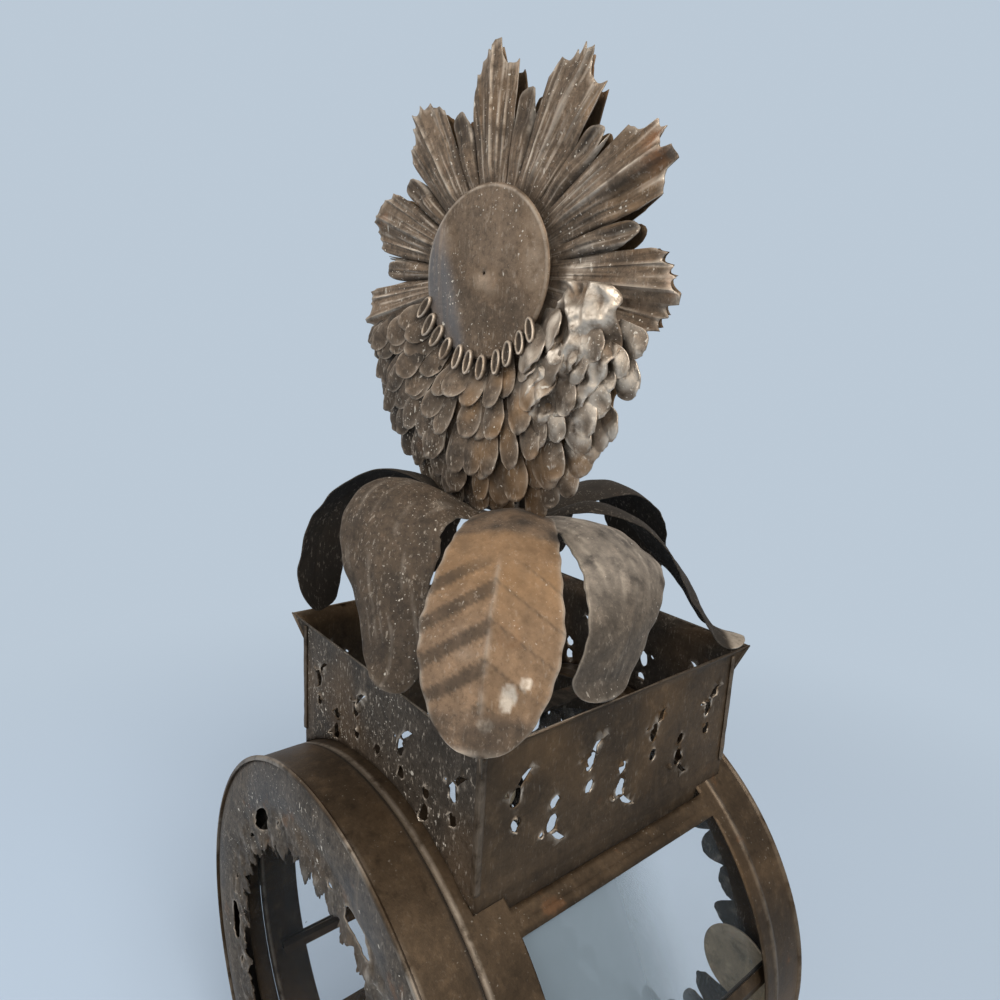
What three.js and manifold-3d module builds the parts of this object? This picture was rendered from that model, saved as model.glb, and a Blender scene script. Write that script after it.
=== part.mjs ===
// Round tin lantern: a glazed drum on a foot, a pierced gallery over it, a crown of
// leaves on the gallery and a sun above the leaves.
// Millimetres, +Z up, front towards -Y. The origin is on the underside of the foot,
// straight below the middle of the gallery. Angles round the drum run from the top
// towards +X.

import * as THREE from 'three';
import { mergeVertices } from 'three/addons/utils/BufferGeometryUtils.js';
import Module from 'manifold-3d';

const wasm = await Module();
wasm.setup();

// Sheet and fits
const sheet = 1.2;
const thinSheet = 0.9;
const fit = 0.3;
const glassThickness = 2.2;

// Drum, with its axis along Y
const drumRadius = 188;
const drumFront = -131;
const drumBack = 139;
const footGap = 34;
const drumZ = footGap + drumRadius;
const windowFront = -97;
const windowBack = 91;
const windowTop = 42.5;
const windowBottom = 137.5;
const barAngles = [79, 117];
const paneRadius = 181;
const barFlange = 6.5;
const swageHeight = 1.0;
const swageY = 105;
const wiredEdge = 1.6;
const wiredWidth = 4;
const drumSides = 48;
const drumBore = drumRadius - sheet;

// Front door and face plates
const doorDepth = 37;
const doorFront = drumFront - fit * 2 - doorDepth;
const plateRadius = drumBore - fit;
const plateInset = 2;
const mouthRadius = 128;
const ovalRadius = 145;
const ovalCount = 6;
const ovalLength = 34;
const ovalWidth = 15;
const faceGlassRadius = 150;
const glassSetback = 7;
const glassRingBore = 144;

// Gallery; the bands of the drum reach in under its front and back walls by the seats
const galleryWidth = 220;
const galleryDepth = 240;
const frontSeat = 23;
const backSeat = 29;
const halfWide = galleryWidth / 2;
const halfDeep = galleryDepth / 2;
const chimneyFront = frontSeat - halfDeep;
const chimneyBack = halfDeep - backSeat;
const chimneyAngle = 37.5;
const galleryWall = 111;
const gallerySink = 46;
const galleryBase = drumZ + drumRadius - gallerySink;
const rimFlare = 8;
const rimRise = 8;
const mouldingLow = 15;
const mouldingHigh = 23;
const mouldingStep = 1;
const motifCount = 7;
const motifPitch = 0.13;
const mitreGap = 0.2;
const seamLeg = 3.4;

// Stem and crown of leaves, heights measured from the bottom of the gallery
const stemRadius = 5;
const socketDepth = 50;
const strapWidth = 18;
const strapThickness = 2;
const leafRoot = 208;
const leafStart = 12;
const leafHalfWidth = 35;
const leafLean = 2;

// Sun
const sunZ = galleryBase + 371;
const sunForward = 42;
const sunTurn = 7.5;
const sunLean = 4;
const rayCount = 7;
const rayPitch = 33;
const rayRadius = 136;
const petalRadius = 106;
const rayHollow = 94;
const bowlRadius = 132;
const bowlStart = 112;
const bowlSqueeze = 0.18;
const discRadius = 52;
const discHeight = 2;
const scaleRows = 5;
const scalePitch = 19;
const scaleLength = 30;
const scaleWidth = 22;
const tabMiddle = 190;
const scaleMiddle = 188;
const tabCount = 11;
const tabReach = 4.5;
const tabCurl = 4.2;
const tabWidth = 6.5;

// Candle fittings
const trayDrop = 150;
const socketRadius = 12;
const socketHeight = 30;
const dripRadius = 29;
const reflectorRadius = 30;
const reflectorX = 148;
const reflectorRise = 8;
const reflectorY = 118;

// Foot
const footWidth = 200;
const footDepth = 226;
const footFlare = 12;
const footPlate = 1.5;

// Hinge and hook
const hingeHeight = 60;
const knuckleRadius = 3.6;
const pinRadius = 1.5;
const hingeX = -(drumRadius + 4.5);
const hingeY = drumFront - fit;
const leafWidth = 18;
const hookPivotY = -112;
const hookLength = 38;
const hookWidth = 7;
const studNeck = 2.2;
const studHead = 4;

const group = new THREE.Group();
const radians = THREE.MathUtils.degToRad;

const tinBrown = { color: 0x6b5a47, roughness: 0.55, metalness: 0.8 };
const tinGrey = { color: 0x7c756c, roughness: 0.6, metalness: 0.75 };
const tinWarm = { color: 0x8a6238, roughness: 0.55, metalness: 0.7 };
const tinBright = { color: 0xa39a8a, roughness: 0.45, metalness: 0.85 };
const iron = { color: 0x4a4038, roughness: 0.6, metalness: 0.8 };
const clearGlass = { color: 0xcfdde4, roughness: 0.08, metalness: 0, transparent: true, opacity: 0.35 };

// Goes from 0 to 1 between two values, level at both ends
function smooth(from, to, value) {
  const t = Math.min(Math.max((value - from) / (to - from), 0), 1);
  return t * t * (3 - 2 * t);
}

// Builds a geometry from a list of points and triangles, with its faces outward
function closed(points, triangles) {
  const geometry = new THREE.BufferGeometry();
  geometry.setAttribute('position', new THREE.Float32BufferAttribute(points.flat(), 3));
  geometry.setIndex(triangles.flat());
  return outward(geometry);
}

// Joins shared corners, drops triangles with no area and turns the faces outward
function outward(source) {
  const bare = source.clone();
  bare.deleteAttribute('normal');
  bare.deleteAttribute('uv');
  const geometry = mergeVertices(bare, 1e-4);
  const position = geometry.getAttribute('position');
  const index = Array.from(geometry.index.array);
  const kept = [];
  let volume = 0;
  const a = new THREE.Vector3();
  const b = new THREE.Vector3();
  const c = new THREE.Vector3();
  for (let i = 0; i < index.length; i += 3) {
    const [p, q, r] = index.slice(i, i + 3);
    if (p === q || q === r || r === p) continue;
    kept.push(p, q, r);
    a.fromBufferAttribute(position, p);
    b.fromBufferAttribute(position, q);
    c.fromBufferAttribute(position, r);
    volume += a.dot(b.cross(c));
  }
  if (volume < 0) {
    for (let i = 0; i < kept.length; i += 3) {
      [kept[i + 1], kept[i + 2]] = [kept[i + 2], kept[i + 1]];
    }
  }
  geometry.setIndex(kept);
  return geometry;
}

function solid(source) {
  const geometry = outward(source);
  const mesh = new wasm.Mesh({
    numProp: 3,
    vertProperties: new Float32Array(geometry.getAttribute('position').array),
    triVerts: new Uint32Array(geometry.index.array),
  });
  return new wasm.Manifold(mesh);
}

function geometryOf(manifold) {
  const mesh = manifold.getMesh();
  const geometry = new THREE.BufferGeometry();
  geometry.setAttribute('position', new THREE.Float32BufferAttribute(mesh.vertProperties, 3));
  geometry.setIndex(Array.from(mesh.triVerts));
  return geometry;
}

function joined(...solids) {
  return solids.reduce((whole, piece) => whole.add(piece));
}

function add(name, shape, look) {
  const geometry = shape.isBufferGeometry ? outward(shape) : geometryOf(shape);
  geometry.computeVertexNormals();
  const mesh = new THREE.Mesh(geometry, new THREE.MeshStandardMaterial(look));
  mesh.name = name;
  group.add(mesh);
}

// Flat outline, its points put in anticlockwise order, with any holes
function outline(points, holes = []) {
  const corners = points.map(([x, y]) => new THREE.Vector2(x, y));
  if (THREE.ShapeUtils.isClockWise(corners)) corners.reverse();
  const shape = new THREE.Shape(corners);
  for (const hole of holes) {
    shape.holes.push(new THREE.Path(hole.map(([x, y]) => new THREE.Vector2(x, y))));
  }
  return shape;
}

// Upright plate drawn in X and Z, between two values of Y
function uprightPlate(shapes, nearY, farY) {
  const geometry = new THREE.ExtrudeGeometry(shapes, { depth: farY - nearY, bevelEnabled: false });
  return geometry.rotateX(Math.PI / 2).translate(0, farY, 0);
}

// Level plate drawn in X and Y, between two heights
function levelPlate(shapes, low, high) {
  const geometry = new THREE.ExtrudeGeometry(shapes, { depth: high - low, bevelEnabled: false });
  return geometry.translate(0, 0, low);
}

function block(x0, x1, y0, y1, z0, z1) {
  const box = new THREE.BoxGeometry(x1 - x0, y1 - y0, z1 - z0);
  return box.translate((x0 + x1) / 2, (y0 + y1) / 2, (z0 + z1) / 2);
}

// Body turned about the drum's axis from a profile of radius and Y
function turnedDrum(profile, sides = drumSides) {
  const points = [...profile, profile[0]].map(([r, y]) => new THREE.Vector2(r, y));
  return new THREE.LatheGeometry(points, sides).translate(0, 0, drumZ);
}

// Body turned about an upright axis from a profile of radius and height
function turnedUpright(profile, sides = 24) {
  const points = profile.map(([r, z]) => new THREE.Vector2(r, z));
  return new THREE.LatheGeometry(points, sides).rotateX(Math.PI / 2);
}

function onDrum(radius, angle) {
  return [radius * Math.sin(radians(angle)), drumZ + radius * Math.cos(radians(angle))];
}

function ellipse(cx, cy, width, height, turn = 0, count = 10) {
  const points = [];
  for (let i = 0; i < count; i += 1) {
    const angle = (i / count) * 2 * Math.PI;
    const x = (width / 2) * Math.cos(angle);
    const y = (height / 2) * Math.sin(angle);
    points.push([
      cx + x * Math.cos(turn) - y * Math.sin(turn),
      cy + x * Math.sin(turn) + y * Math.cos(turn),
    ]);
  }
  return points;
}

// Sheet of even thickness over a grid of points; place(u, v) runs over 0 to 1 each way.
// A sheet that wraps starts from a hole or from a single point in its middle.
function thickSheet(place, acrossCount, alongCount, thickness, wraps = false) {
  const step = 1e-3;
  const points = [];
  const middle = new THREE.Vector3();
  const pointed = wraps && place(0, 0).distanceTo(place(0.5, 0)) < step;
  if (pointed) {
    for (const turn of [0, 0.25, 0.5, 0.75]) {
      const spoke = place(turn, step * 4).sub(place(turn, 0));
      middle.add(place(turn + 0.25, step * 4).sub(place(turn, 0)).cross(spoke));
    }
    middle.normalize().negate();
  }
  const triangles = [];
  const rows = alongCount + 1;
  const columns = wraps ? acrossCount : acrossCount + 1;
  for (const side of [0.5, -0.5]) {
    for (let j = 0; j < rows; j += 1) {
      for (let i = 0; i < columns; i += 1) {
        const u = i / acrossCount;
        const v = j / alongCount;
        const nearV = Math.min(Math.max(v, step * 4), 1 - step);
        const nearU = wraps ? u : Math.min(Math.max(u, step), 1 - step);
        const du = place(nearU + step, nearV).sub(place(nearU - step, nearV));
        const dv = place(nearU, nearV + step).sub(place(nearU, nearV - step));
        const normal = pointed && j === 0 ? middle : du.cross(dv).normalize();
        points.push(place(u, v).addScaledVector(normal, thickness * side).toArray());
      }
    }
  }
  const back = rows * columns;
  const at = (i, j) => j * columns + (wraps ? i % columns : i);
  const close = (a, b) => triangles.push([a, back + a, back + b], [a, back + b, b]);
  if (!wraps) {
    for (let j = 0; j < alongCount; j += 1) {
      close(at(0, j + 1), at(0, j));
      close(at(acrossCount, j), at(acrossCount, j + 1));
    }
  }
  for (let i = acrossCount - 1; i >= 0; i -= 1) {
    close(at(i + 1, alongCount), at(i, alongCount));
    close(at(i, 0), at(i + 1, 0));
  }
  for (let j = 0; j < alongCount; j += 1) {
    for (let i = 0; i < acrossCount; i += 1) {
      const [a, b, c, d] = [at(i, j), at(i + 1, j), at(i + 1, j + 1), at(i, j + 1)];
      triangles.push([a, b, c], [a, c, d]);
      triangles.push([back + a, back + c, back + b], [back + a, back + d, back + c]);
    }
  }
  return closed(points, triangles);
}

// Wall facing -Y with mitred ends; the profile is distance outward and height
function mitredWall(profile, halfLength, distance, gap) {
  const points = [];
  for (const end of [-1, 1]) {
    for (const [out, z] of profile) {
      points.push([end * (halfLength + out - gap), -(distance + out), z]);
    }
  }
  const count = profile.length;
  const triangles = [];
  for (let i = 0; i < count; i += 1) {
    const next = (i + 1) % count;
    triangles.push([i, next, count + next], [i, count + next, count + i]);
  }
  const flat = profile.map(([out, z]) => new THREE.Vector2(out, z));
  const facing = (corners) => Math.sign(THREE.ShapeUtils.area(corners));
  for (const cap of THREE.ShapeUtils.triangulateShape(flat, [])) {
    const same = facing(cap.map((i) => flat[i])) === facing(flat);
    const [a, b, c] = same ? cap : [cap[0], cap[2], cap[1]];
    triangles.push([a, c, b], [count + a, count + b, count + c]);
  }
  return closed(points, triangles);
}

// Drum skin: one rolled sheet with a wired back edge, windows and a chimney opening

function drumOutside(extra = 0) {
  const r = drumRadius + extra;
  return [
    [r, drumFront - extra],
    [r, swageY - 3],
    [r + swageHeight, swageY],
    [r, swageY + 3],
    [r, drumBack - wiredWidth],
    [r + wiredEdge, drumBack - wiredWidth * 0.4],
    [r, drumBack + extra],
  ];
}

function wedge(fromAngle, toAngle, nearY, farY) {
  const points = [[0, drumZ]];
  const steps = 6;
  for (let i = 0; i <= steps; i += 1) {
    points.push(onDrum(drumRadius * 1.3, fromAngle + ((toAngle - fromAngle) * i) / steps));
  }
  return solid(uprightPlate(outline(points), nearY, farY));
}

let skin = solid(turnedDrum([...drumOutside(), [drumBore, drumBack], [drumBore, drumFront]]));
skin = skin.subtract(wedge(windowTop, windowBottom, windowFront, windowBack));
skin = skin.subtract(wedge(-windowBottom, -windowTop, windowFront, windowBack));
skin = skin.subtract(wedge(-chimneyAngle, chimneyAngle, chimneyFront, chimneyBack));
add('drum_skin', skin, tinBrown);

// Space taken by the front and back bands, for the pieces that are cut to their curve
const outside = drumOutside(fit);
const drumSolid = solid(turnedDrum([...outside, [1, drumBack + fit], [1, drumFront - fit]]));
const reach = drumRadius * 2;
const bandGap = block(-reach, reach, chimneyFront + fit, chimneyBack - fit, 0, reach * 2);
const bandSolid = drumSolid.subtract(solid(bandGap));

// Glazing bars and flat panes: each bar is a came whose slots follow its two panes

function direction(from, to) {
  const x = to[0] - from[0];
  const z = to[1] - from[1];
  const length = Math.hypot(x, z);
  return [x / length, z / length];
}

function came(before, at, after) {
  const up = direction(at, before);
  const down = direction(at, after);
  const outUp = [-up[1], up[0]].map((n) => -n);
  const outDown = [-down[1], down[0]];
  const middle = direction([0, 0], [outUp[0] + outDown[0], outUp[1] + outDown[1]]);
  const slot = glassThickness / 2 + fit;
  const web = 1.1;
  const place = (along, a, normal, n) => [
    at[0] + along[0] * a + normal[0] * n,
    at[1] + along[1] * a + normal[1] * n,
  ];
  const far = slot + sheet * 0.8;
  return [
    place(up, barFlange, outUp, far), place(up, 0, middle, far),
    place(down, barFlange, outDown, far), place(down, barFlange, outDown, slot),
    place(down, web, outDown, slot), place(down, web, outDown, -slot),
    place(down, barFlange, outDown, -slot), place(down, barFlange, outDown, -far),
    place(up, 0, middle, -far), place(up, barFlange, outUp, -far),
    place(up, barFlange, outUp, -slot), place(up, web, outUp, -slot),
    place(up, web, outUp, slot), place(up, barFlange, outUp, slot),
  ];
}

function pane(from, to) {
  const along = direction(from, to);
  const out = [along[1], -along[0]];
  const inset = 1.1 + fit;
  const corners = [];
  for (const [point, way] of [[from, 1], [to, -1]]) {
    for (const side of [1, -1]) {
      const n = (glassThickness / 2) * side * way;
      corners.push([
        point[0] + along[0] * inset * way + out[0] * n,
        point[1] + along[1] * inset * way + out[1] * n,
      ]);
    }
  }
  return corners;
}

const paneFront = windowFront - 18;
const paneBack = windowBack + 18;
const paneAngles = [windowTop - 2.5, ...barAngles, windowBottom + 2.5];
const paneNames = ['upper', 'middle', 'lower'];
for (const [sideName, side] of [['right', 1], ['left', -1]]) {
  const corner = paneAngles.map((angle) => {
    const [x, z] = onDrum(paneRadius, angle);
    return [x * side, z];
  });
  for (let i = 1; i < corner.length - 1; i += 1) {
    const section = came(corner[i - 1], corner[i], corner[i + 1]);
    const name = `bar_${sideName}_${i === 1 ? 'high' : 'low'}`;
    add(name, uprightPlate(outline(section), paneFront - 5, paneBack + 3), tinBrown);
  }
  for (let i = 0; i < corner.length - 1; i += 1) {
    const section = pane(corner[i], corner[i + 1]);
    const name = `pane_${sideName}_${paneNames[i]}`;
    add(name, uprightPlate(outline(section), paneFront, paneBack), clearGlass);
  }
}

// Face plates: a ring whose inner edge is cut into leaf tips in front, lobes behind

function frontFringe() {
  const points = [];
  const leaves = 24;
  for (let i = 0; i < leaves; i += 1) {
    const wave = Math.sin(i * 2.4) * 0.5 + Math.sin(i * 5.1 + 1) * 0.5;
    const tip = mouthRadius - 21 + wave * 8;
    const start = (i / leaves) * 360;
    const pitch = 360 / leaves;
    for (const [turn, radius] of [
      [0.0, mouthRadius + 2], [0.24, tip + 11], [0.44, tip - 2], [0.58, tip + 5], [0.8, mouthRadius - 7],
    ]) {
      points.push(onDrum(radius, start + turn * pitch));
    }
  }
  return points;
}

function backFringe() {
  const points = [];
  const lobes = 30;
  for (let i = 0; i < lobes; i += 1) {
    const tip = mouthRadius - 12 + (i % 3) * 5;
    const start = (i / lobes) * 360;
    const pitch = 360 / lobes;
    for (const [turn, radius] of [[0.0, mouthRadius + 6], [0.3, tip], [0.7, tip + 1]]) {
      points.push(onDrum(radius, start + turn * pitch));
    }
  }
  return points;
}

function circle(radius, sides = drumSides) {
  const points = [];
  for (let i = 0; i < sides; i += 1) {
    points.push(onDrum(radius, (i / sides) * 360));
  }
  return points;
}

function ovals(firstAngle) {
  const holes = [];
  for (let i = 0; i < ovalCount; i += 1) {
    const angle = firstAngle + (i * 360) / ovalCount;
    const [x, z] = onDrum(ovalRadius, angle);
    holes.push(ellipse(x, z, ovalLength, ovalWidth, -radians(angle), 12));
    const [nickX, nickZ] = onDrum(ovalRadius - 3, angle + 12.5);
    holes.push(ellipse(nickX, nickZ, 8, 3.6, -radians(angle) + 0.5, 5));
  }
  return holes;
}

function facePlate(fringe, firstOval, nearY) {
  const shape = outline(circle(plateRadius), [fringe, ...ovals(firstOval)]);
  return uprightPlate(shape, nearY, nearY + sheet);
}

function ring(outer, inner, nearY, farY) {
  return turnedDrum([[outer, nearY], [outer, farY], [inner, farY], [inner, nearY]], 24);
}

const doorPlateY = doorFront + plateInset;
const doorGlassY = doorPlateY + glassSetback;
const backPlateY = drumBack - plateInset - sheet;
const backGlassY = backPlateY - glassSetback;
add('back_plate', facePlate(backFringe(), 5, backPlateY), tinGrey);
add('back_glass', uprightPlate(outline(circle(faceGlassRadius, 28)), backGlassY,
  backGlassY + glassThickness), clearGlass);
add('back_glass_ring', ring(plateRadius, glassRingBore, backGlassY - fit - sheet,
  backGlassY - fit), tinBrown);

// Door: rim, plate, glass and glass ring

const doorBack = doorFront + doorDepth;
const rimProfile = [
  [drumRadius, doorBack],
  [drumBore, doorBack],
  [drumBore, doorFront],
  [drumRadius, doorFront],
  [drumRadius + wiredEdge, doorFront + wiredWidth * 0.4],
  [drumRadius, doorFront + wiredWidth],
];
add('door_rim', turnedDrum(rimProfile), tinBrown);
add('door_plate', facePlate(frontFringe(), 25, doorPlateY), tinGrey);
add('door_glass', uprightPlate(outline(circle(faceGlassRadius, 28)), doorGlassY,
  doorGlassY + glassThickness), clearGlass);
add('door_glass_ring', ring(plateRadius, glassRingBore, doorGlassY + glassThickness + fit,
  doorGlassY + glassThickness + fit + sheet), tinBrown);

// Hinge on the left: two outer knuckles on the drum, the middle one on the door

function knuckle(low, high) {
  const profile = [
    [pinRadius + fit, low], [knuckleRadius, low], [knuckleRadius, high], [pinRadius + fit, high],
    [pinRadius + fit, low],
  ];
  return solid(turnedUpright(profile, 10).translate(hingeX, hingeY, drumZ));
}

const knuckleSpan = hingeHeight / 6;
const hingeIn = -drumRadius - fit;
const hingeOut = hingeIn - sheet;
const clearOfKnuckle = knuckleRadius + fit;
const knuckleBore = solid(turnedUpright([
  [0, -hingeHeight], [pinRadius + fit, -hingeHeight], [pinRadius + fit, hingeHeight], [0, hingeHeight],
], 10).translate(hingeX, hingeY, drumZ));

function hingeLeaf(way, spans) {
  const near = hingeY + way * clearOfKnuckle;
  const far = hingeY + way * leafWidth;
  const plate = block(hingeOut, hingeIn, Math.min(near, far), Math.max(near, far),
    drumZ - hingeHeight / 2, drumZ + hingeHeight / 2);
  let leaf = solid(plate);
  for (const [low, high] of spans) {
    const tongue = block(hingeOut, hingeIn, Math.min(hingeY, near + way), Math.max(hingeY, near + way),
      drumZ + low, drumZ + high);
    leaf = joined(leaf, solid(tongue), knuckle(low, high));
  }
  return leaf.subtract(knuckleBore);
}

const half = hingeHeight / 2;
add('hinge_leaf_drum', hingeLeaf(1, [[-half, -knuckleSpan - fit], [knuckleSpan + fit, half]]), iron);
add('hinge_leaf_door', hingeLeaf(-1, [[-knuckleSpan, knuckleSpan]]), iron);
add('hinge_pin', turnedUpright([
  [0, -half - 2], [pinRadius, -half - 2], [pinRadius, half + fit], [pinRadius * 2, half + fit],
  [pinRadius * 2, half + 2], [0, half + 2],
], 10).translate(hingeX, hingeY, drumZ), iron);

// Hook and stud on the right; the hook is stored hanging from its pivot

function stud(y, headStart) {
  const profile = [
    [0, fit], [6, fit], [6, fit + sheet], [studNeck, fit + sheet], [studNeck, headStart],
    [studHead, headStart], [studHead, headStart + 1.2], [0, headStart + 2],
  ];
  const points = profile.map(([r, x]) => new THREE.Vector2(r, x));
  const turned = new THREE.LatheGeometry(points, 8).rotateZ(-Math.PI / 2);
  return turned.translate(drumRadius, y, drumZ);
}

function hookShape() {
  const w = hookWidth / 2;
  const slot = studNeck + fit;
  const points = [];
  for (let i = 0; i <= 8; i += 1) {
    const angle = radians(-55 - (250 * i) / 8);
    points.push([6 * Math.cos(angle), 6 * Math.sin(angle)]);
  }
  points.push([hookLength - slot, w]);
  for (let i = 0; i <= 6; i += 1) {
    const angle = Math.PI + (Math.PI * i) / 6;
    points.push([hookLength + slot * Math.cos(angle), slot * Math.sin(angle)]);
  }
  points.push([hookLength + slot, w + 1.5], [hookLength + slot + 2.5, w + 2.5]);
  points.push([hookLength + slot + 5, w], [hookLength + slot + 4, -3], [hookLength, -slot - 3.2]);
  points.push([hookLength - 8, -w]);
  return outline(points, [ellipse(0, 0, 2 * slot, 2 * slot, 0, 10)]);
}

const hookX = drumRadius + fit + sheet + fit;
const hookHead = fit + sheet + fit + sheet + fit;
add('latch_stud', stud(hingeY - leafWidth - 0.7, hookHead), iron);
add('latch_pivot', stud(hookPivotY, hookHead), iron);
const hook = new THREE.ExtrudeGeometry(hookShape(), { depth: sheet, bevelEnabled: false });
hook.applyMatrix4(new THREE.Matrix4().set(0, 0, 1, 0, 0, 1, 0, 0, -1, 0, 0, 0, 0, 0, 0, 1));
add('latch_hook', hook.translate(hookX, hookPivotY, drumZ), iron);

// Gallery: four mitred walls with a flared rim, a stepped moulding and punched motifs

const wallTop = galleryBase + galleryWall;
const galleryProfile = [
  [0, galleryBase],
  [0, galleryBase + mouldingLow],
  [mouldingStep, galleryBase + mouldingLow + 1.5],
  [mouldingStep, galleryBase + mouldingHigh - 1.5],
  [0, galleryBase + mouldingHigh],
  [0, wallTop],
  [rimFlare, wallTop + rimRise],
  [rimFlare - 0.85, wallTop + rimRise + 0.85],
  [-sheet, wallTop + 0.5],
  [-sheet, galleryBase],
];

function motif(centre, upright) {
  const big = galleryBase + (upright ? 76 : 46);
  const small = galleryBase + (upright ? 58.5 : 60);
  const way = upright ? 1 : -1;
  const tilt = -0.18;
  const stem = [
    [centre + 2.2, big + way * 8.6], [centre + 12, big + way * 13.5], [centre + 3, big + way * 11.5],
  ];
  const nick = [
    [centre - 9, big + way * 5], [centre - 5.6, big + way * 3.4], [centre - 6.2, big + way * 6],
  ];
  return [
    ellipse(centre, big, 8, 13, tilt, 8), ellipse(centre + 0.8, small, 7.4, 9, tilt, 7),
    stem, nick,
  ];
}

function galleryWallSolid(length, distance, turn, cutter) {
  const cuts = [];
  for (let i = 0; i < motifCount; i += 1) {
    const centre = (i - (motifCount - 1) / 2) * motifPitch * length;
    cuts.push(...motif(centre, i % 2 === 0).map((points) => outline(points)));
  }
  const punch = uprightPlate(cuts, -distance - 6, -distance + 6);
  const wall = mitredWall(galleryProfile, length / 2, distance, mitreGap);
  return solid(wall.rotateZ(turn)).subtract(solid(punch.rotateZ(turn))).subtract(cutter);
}

const quarter = Math.PI / 2;
add('gallery_wall_front', galleryWallSolid(galleryWidth, halfDeep, 0, drumSolid), tinGrey);
add('gallery_wall_right', galleryWallSolid(galleryDepth, halfWide, quarter, bandSolid), tinBrown);
add('gallery_wall_back', galleryWallSolid(galleryWidth, halfDeep, 2 * quarter, drumSolid), tinGrey);
add('gallery_wall_left', galleryWallSolid(galleryDepth, halfWide, 3 * quarter, bandSolid), tinBrown);

// Folded seam strip over each upright corner
const drumAtSeam = drumZ + Math.sqrt((drumRadius + fit) ** 2 - (halfWide - seamLeg) ** 2);
const seamLow = Math.max(galleryBase + mouldingHigh + 1, drumAtSeam + fit);
for (const [name, sx, sy] of [['front_right', 1, -1], ['back_right', 1, 1],
  ['back_left', -1, 1], ['front_left', -1, -1]]) {
  const x = halfWide + fit;
  const y = halfDeep + fit;
  const points = [
    [x - seamLeg, y], [x, y], [x, y - seamLeg], [x + thinSheet, y - seamLeg],
    [x + thinSheet, y + thinSheet], [x - seamLeg, y + thinSheet],
  ].map(([px, py]) => [px * sx, py * sy]);
  add(`gallery_seam_${name}`, levelPlate(outline(points), seamLow, wallTop - 1), tinGrey);
}

// Strap across the chimney, stem and collar

const strapZ = drumZ + drumRadius + fit;
const strapFront = chimneyFront - 15;
const strapBack = chimneyBack + 10;
add('stem_strap', block(-strapWidth / 2, strapWidth / 2, strapFront, strapBack, strapZ,
  strapZ + strapThickness), iron);
const stemFoot = strapZ + strapThickness + fit;
const stemTop = sunZ + 24;
const sunSocket = stemRadius + fit + sheet;
add('stem', turnedUpright([
  [0, stemFoot], [14, stemFoot], [14, stemFoot + 2], [stemRadius + 2, stemFoot + 5],
  [stemRadius, stemFoot + 9], [stemRadius, stemTop], [0, stemTop],
], 12), iron);
const collarLow = galleryBase + leafRoot - 6;
add('leaf_collar', turnedUpright([
  [stemRadius + fit, collarLow], [leafStart - 2, collarLow], [leafStart - fit, collarLow + 6],
  [leafStart - 2, collarLow + 12], [stemRadius + fit, collarLow + 12], [stemRadius + fit, collarLow],
], 14), tinBrown);

// Leaves: each bends out of the collar, over the rim, and ends in a curled tip.
// A path lists distance from the stem and height over the bottom of the gallery.

const cornerAngle = THREE.MathUtils.radToDeg(Math.atan2(halfDeep, halfWide));
const leaves = [
  { name: 'leaf_front_right', angle: -cornerAngle, width: 39, peak: 0.7, tip: 0.7, look: tinWarm,
    path: [[36, 217], [75, 226], [114, 220], [147, 196], [167, 163], [176, 138], [183, 123]] },
  { name: 'leaf_right', angle: -leafLean, width: leafHalfWidth, sweep: -34, look: tinGrey,
    path: [[40, 214], [70, 213], [105, 194], [121, 169], [122, 150], [122, 135], [127, 127]] },
  { name: 'leaf_back_right', angle: cornerAngle, width: leafHalfWidth - 5, twist: -14, look: tinBrown,
    path: [[49, 219], [84, 207], [108, 181], [126, 157], [136, 140], [144, 130], [154, 125.5],
      [168, 125.5]] },
  { name: 'leaf_back', angle: 90, width: leafHalfWidth, look: tinBrown,
    path: [[50, 220], [90, 224], [118, 207], [132, 178], [133, 150], [135, 133], [142, 124]] },
  { name: 'leaf_back_left', angle: 180 - cornerAngle, width: leafHalfWidth, look: tinBrown,
    path: [[50, 219], [95, 225], [130, 210], [152, 182], [168, 150], [176, 135], [184, 125]] },
  { name: 'leaf_left', angle: 180, width: leafHalfWidth, look: tinBrown,
    path: [[45, 217], [84, 222], [110, 205], [124, 172], [124, 150], [126, 133], [132, 124]] },
  { name: 'leaf_front_left', angle: 180 + cornerAngle, width: leafHalfWidth, twist: 32, look: tinBrown,
    path: [[50, 224], [93, 232], [120, 221], [138, 203], [149, 182], [153, 159], [152, 140], [149, 124]] },
  { name: 'leaf_front', angle: -90, width: leafHalfWidth + 3, sweep: 33, twist: -24, look: tinGrey,
    path: [[48, 217], [84, 232], [110, 225], [125, 194], [128, 165], [130, 145], [134, 131], [140, 125]] },
];

// Half the angle between neighbouring leaves, less room between their edges
const leafShare = Math.min(cornerAngle - leafLean, 90 - cornerAngle) / 2 - 0.75;
const narrow = Math.tan(radians(leafShare));

// Half width of a blade: it swells to its peak, draws in a little and ends in a rounded tip
function leafWidthAt(t, most, peak, tip) {
  const swell = Math.min(1, 0.45 + 0.55 * Math.pow(t / peak, 1.1));
  const waist = 1 - 0.2 * smooth(peak, tip, t);
  const round = t > tip ? Math.pow(1 - ((t - tip) / (1.01 - tip)) ** 2, 0.4) : 1;
  return most * swell * waist * round;
}

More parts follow.
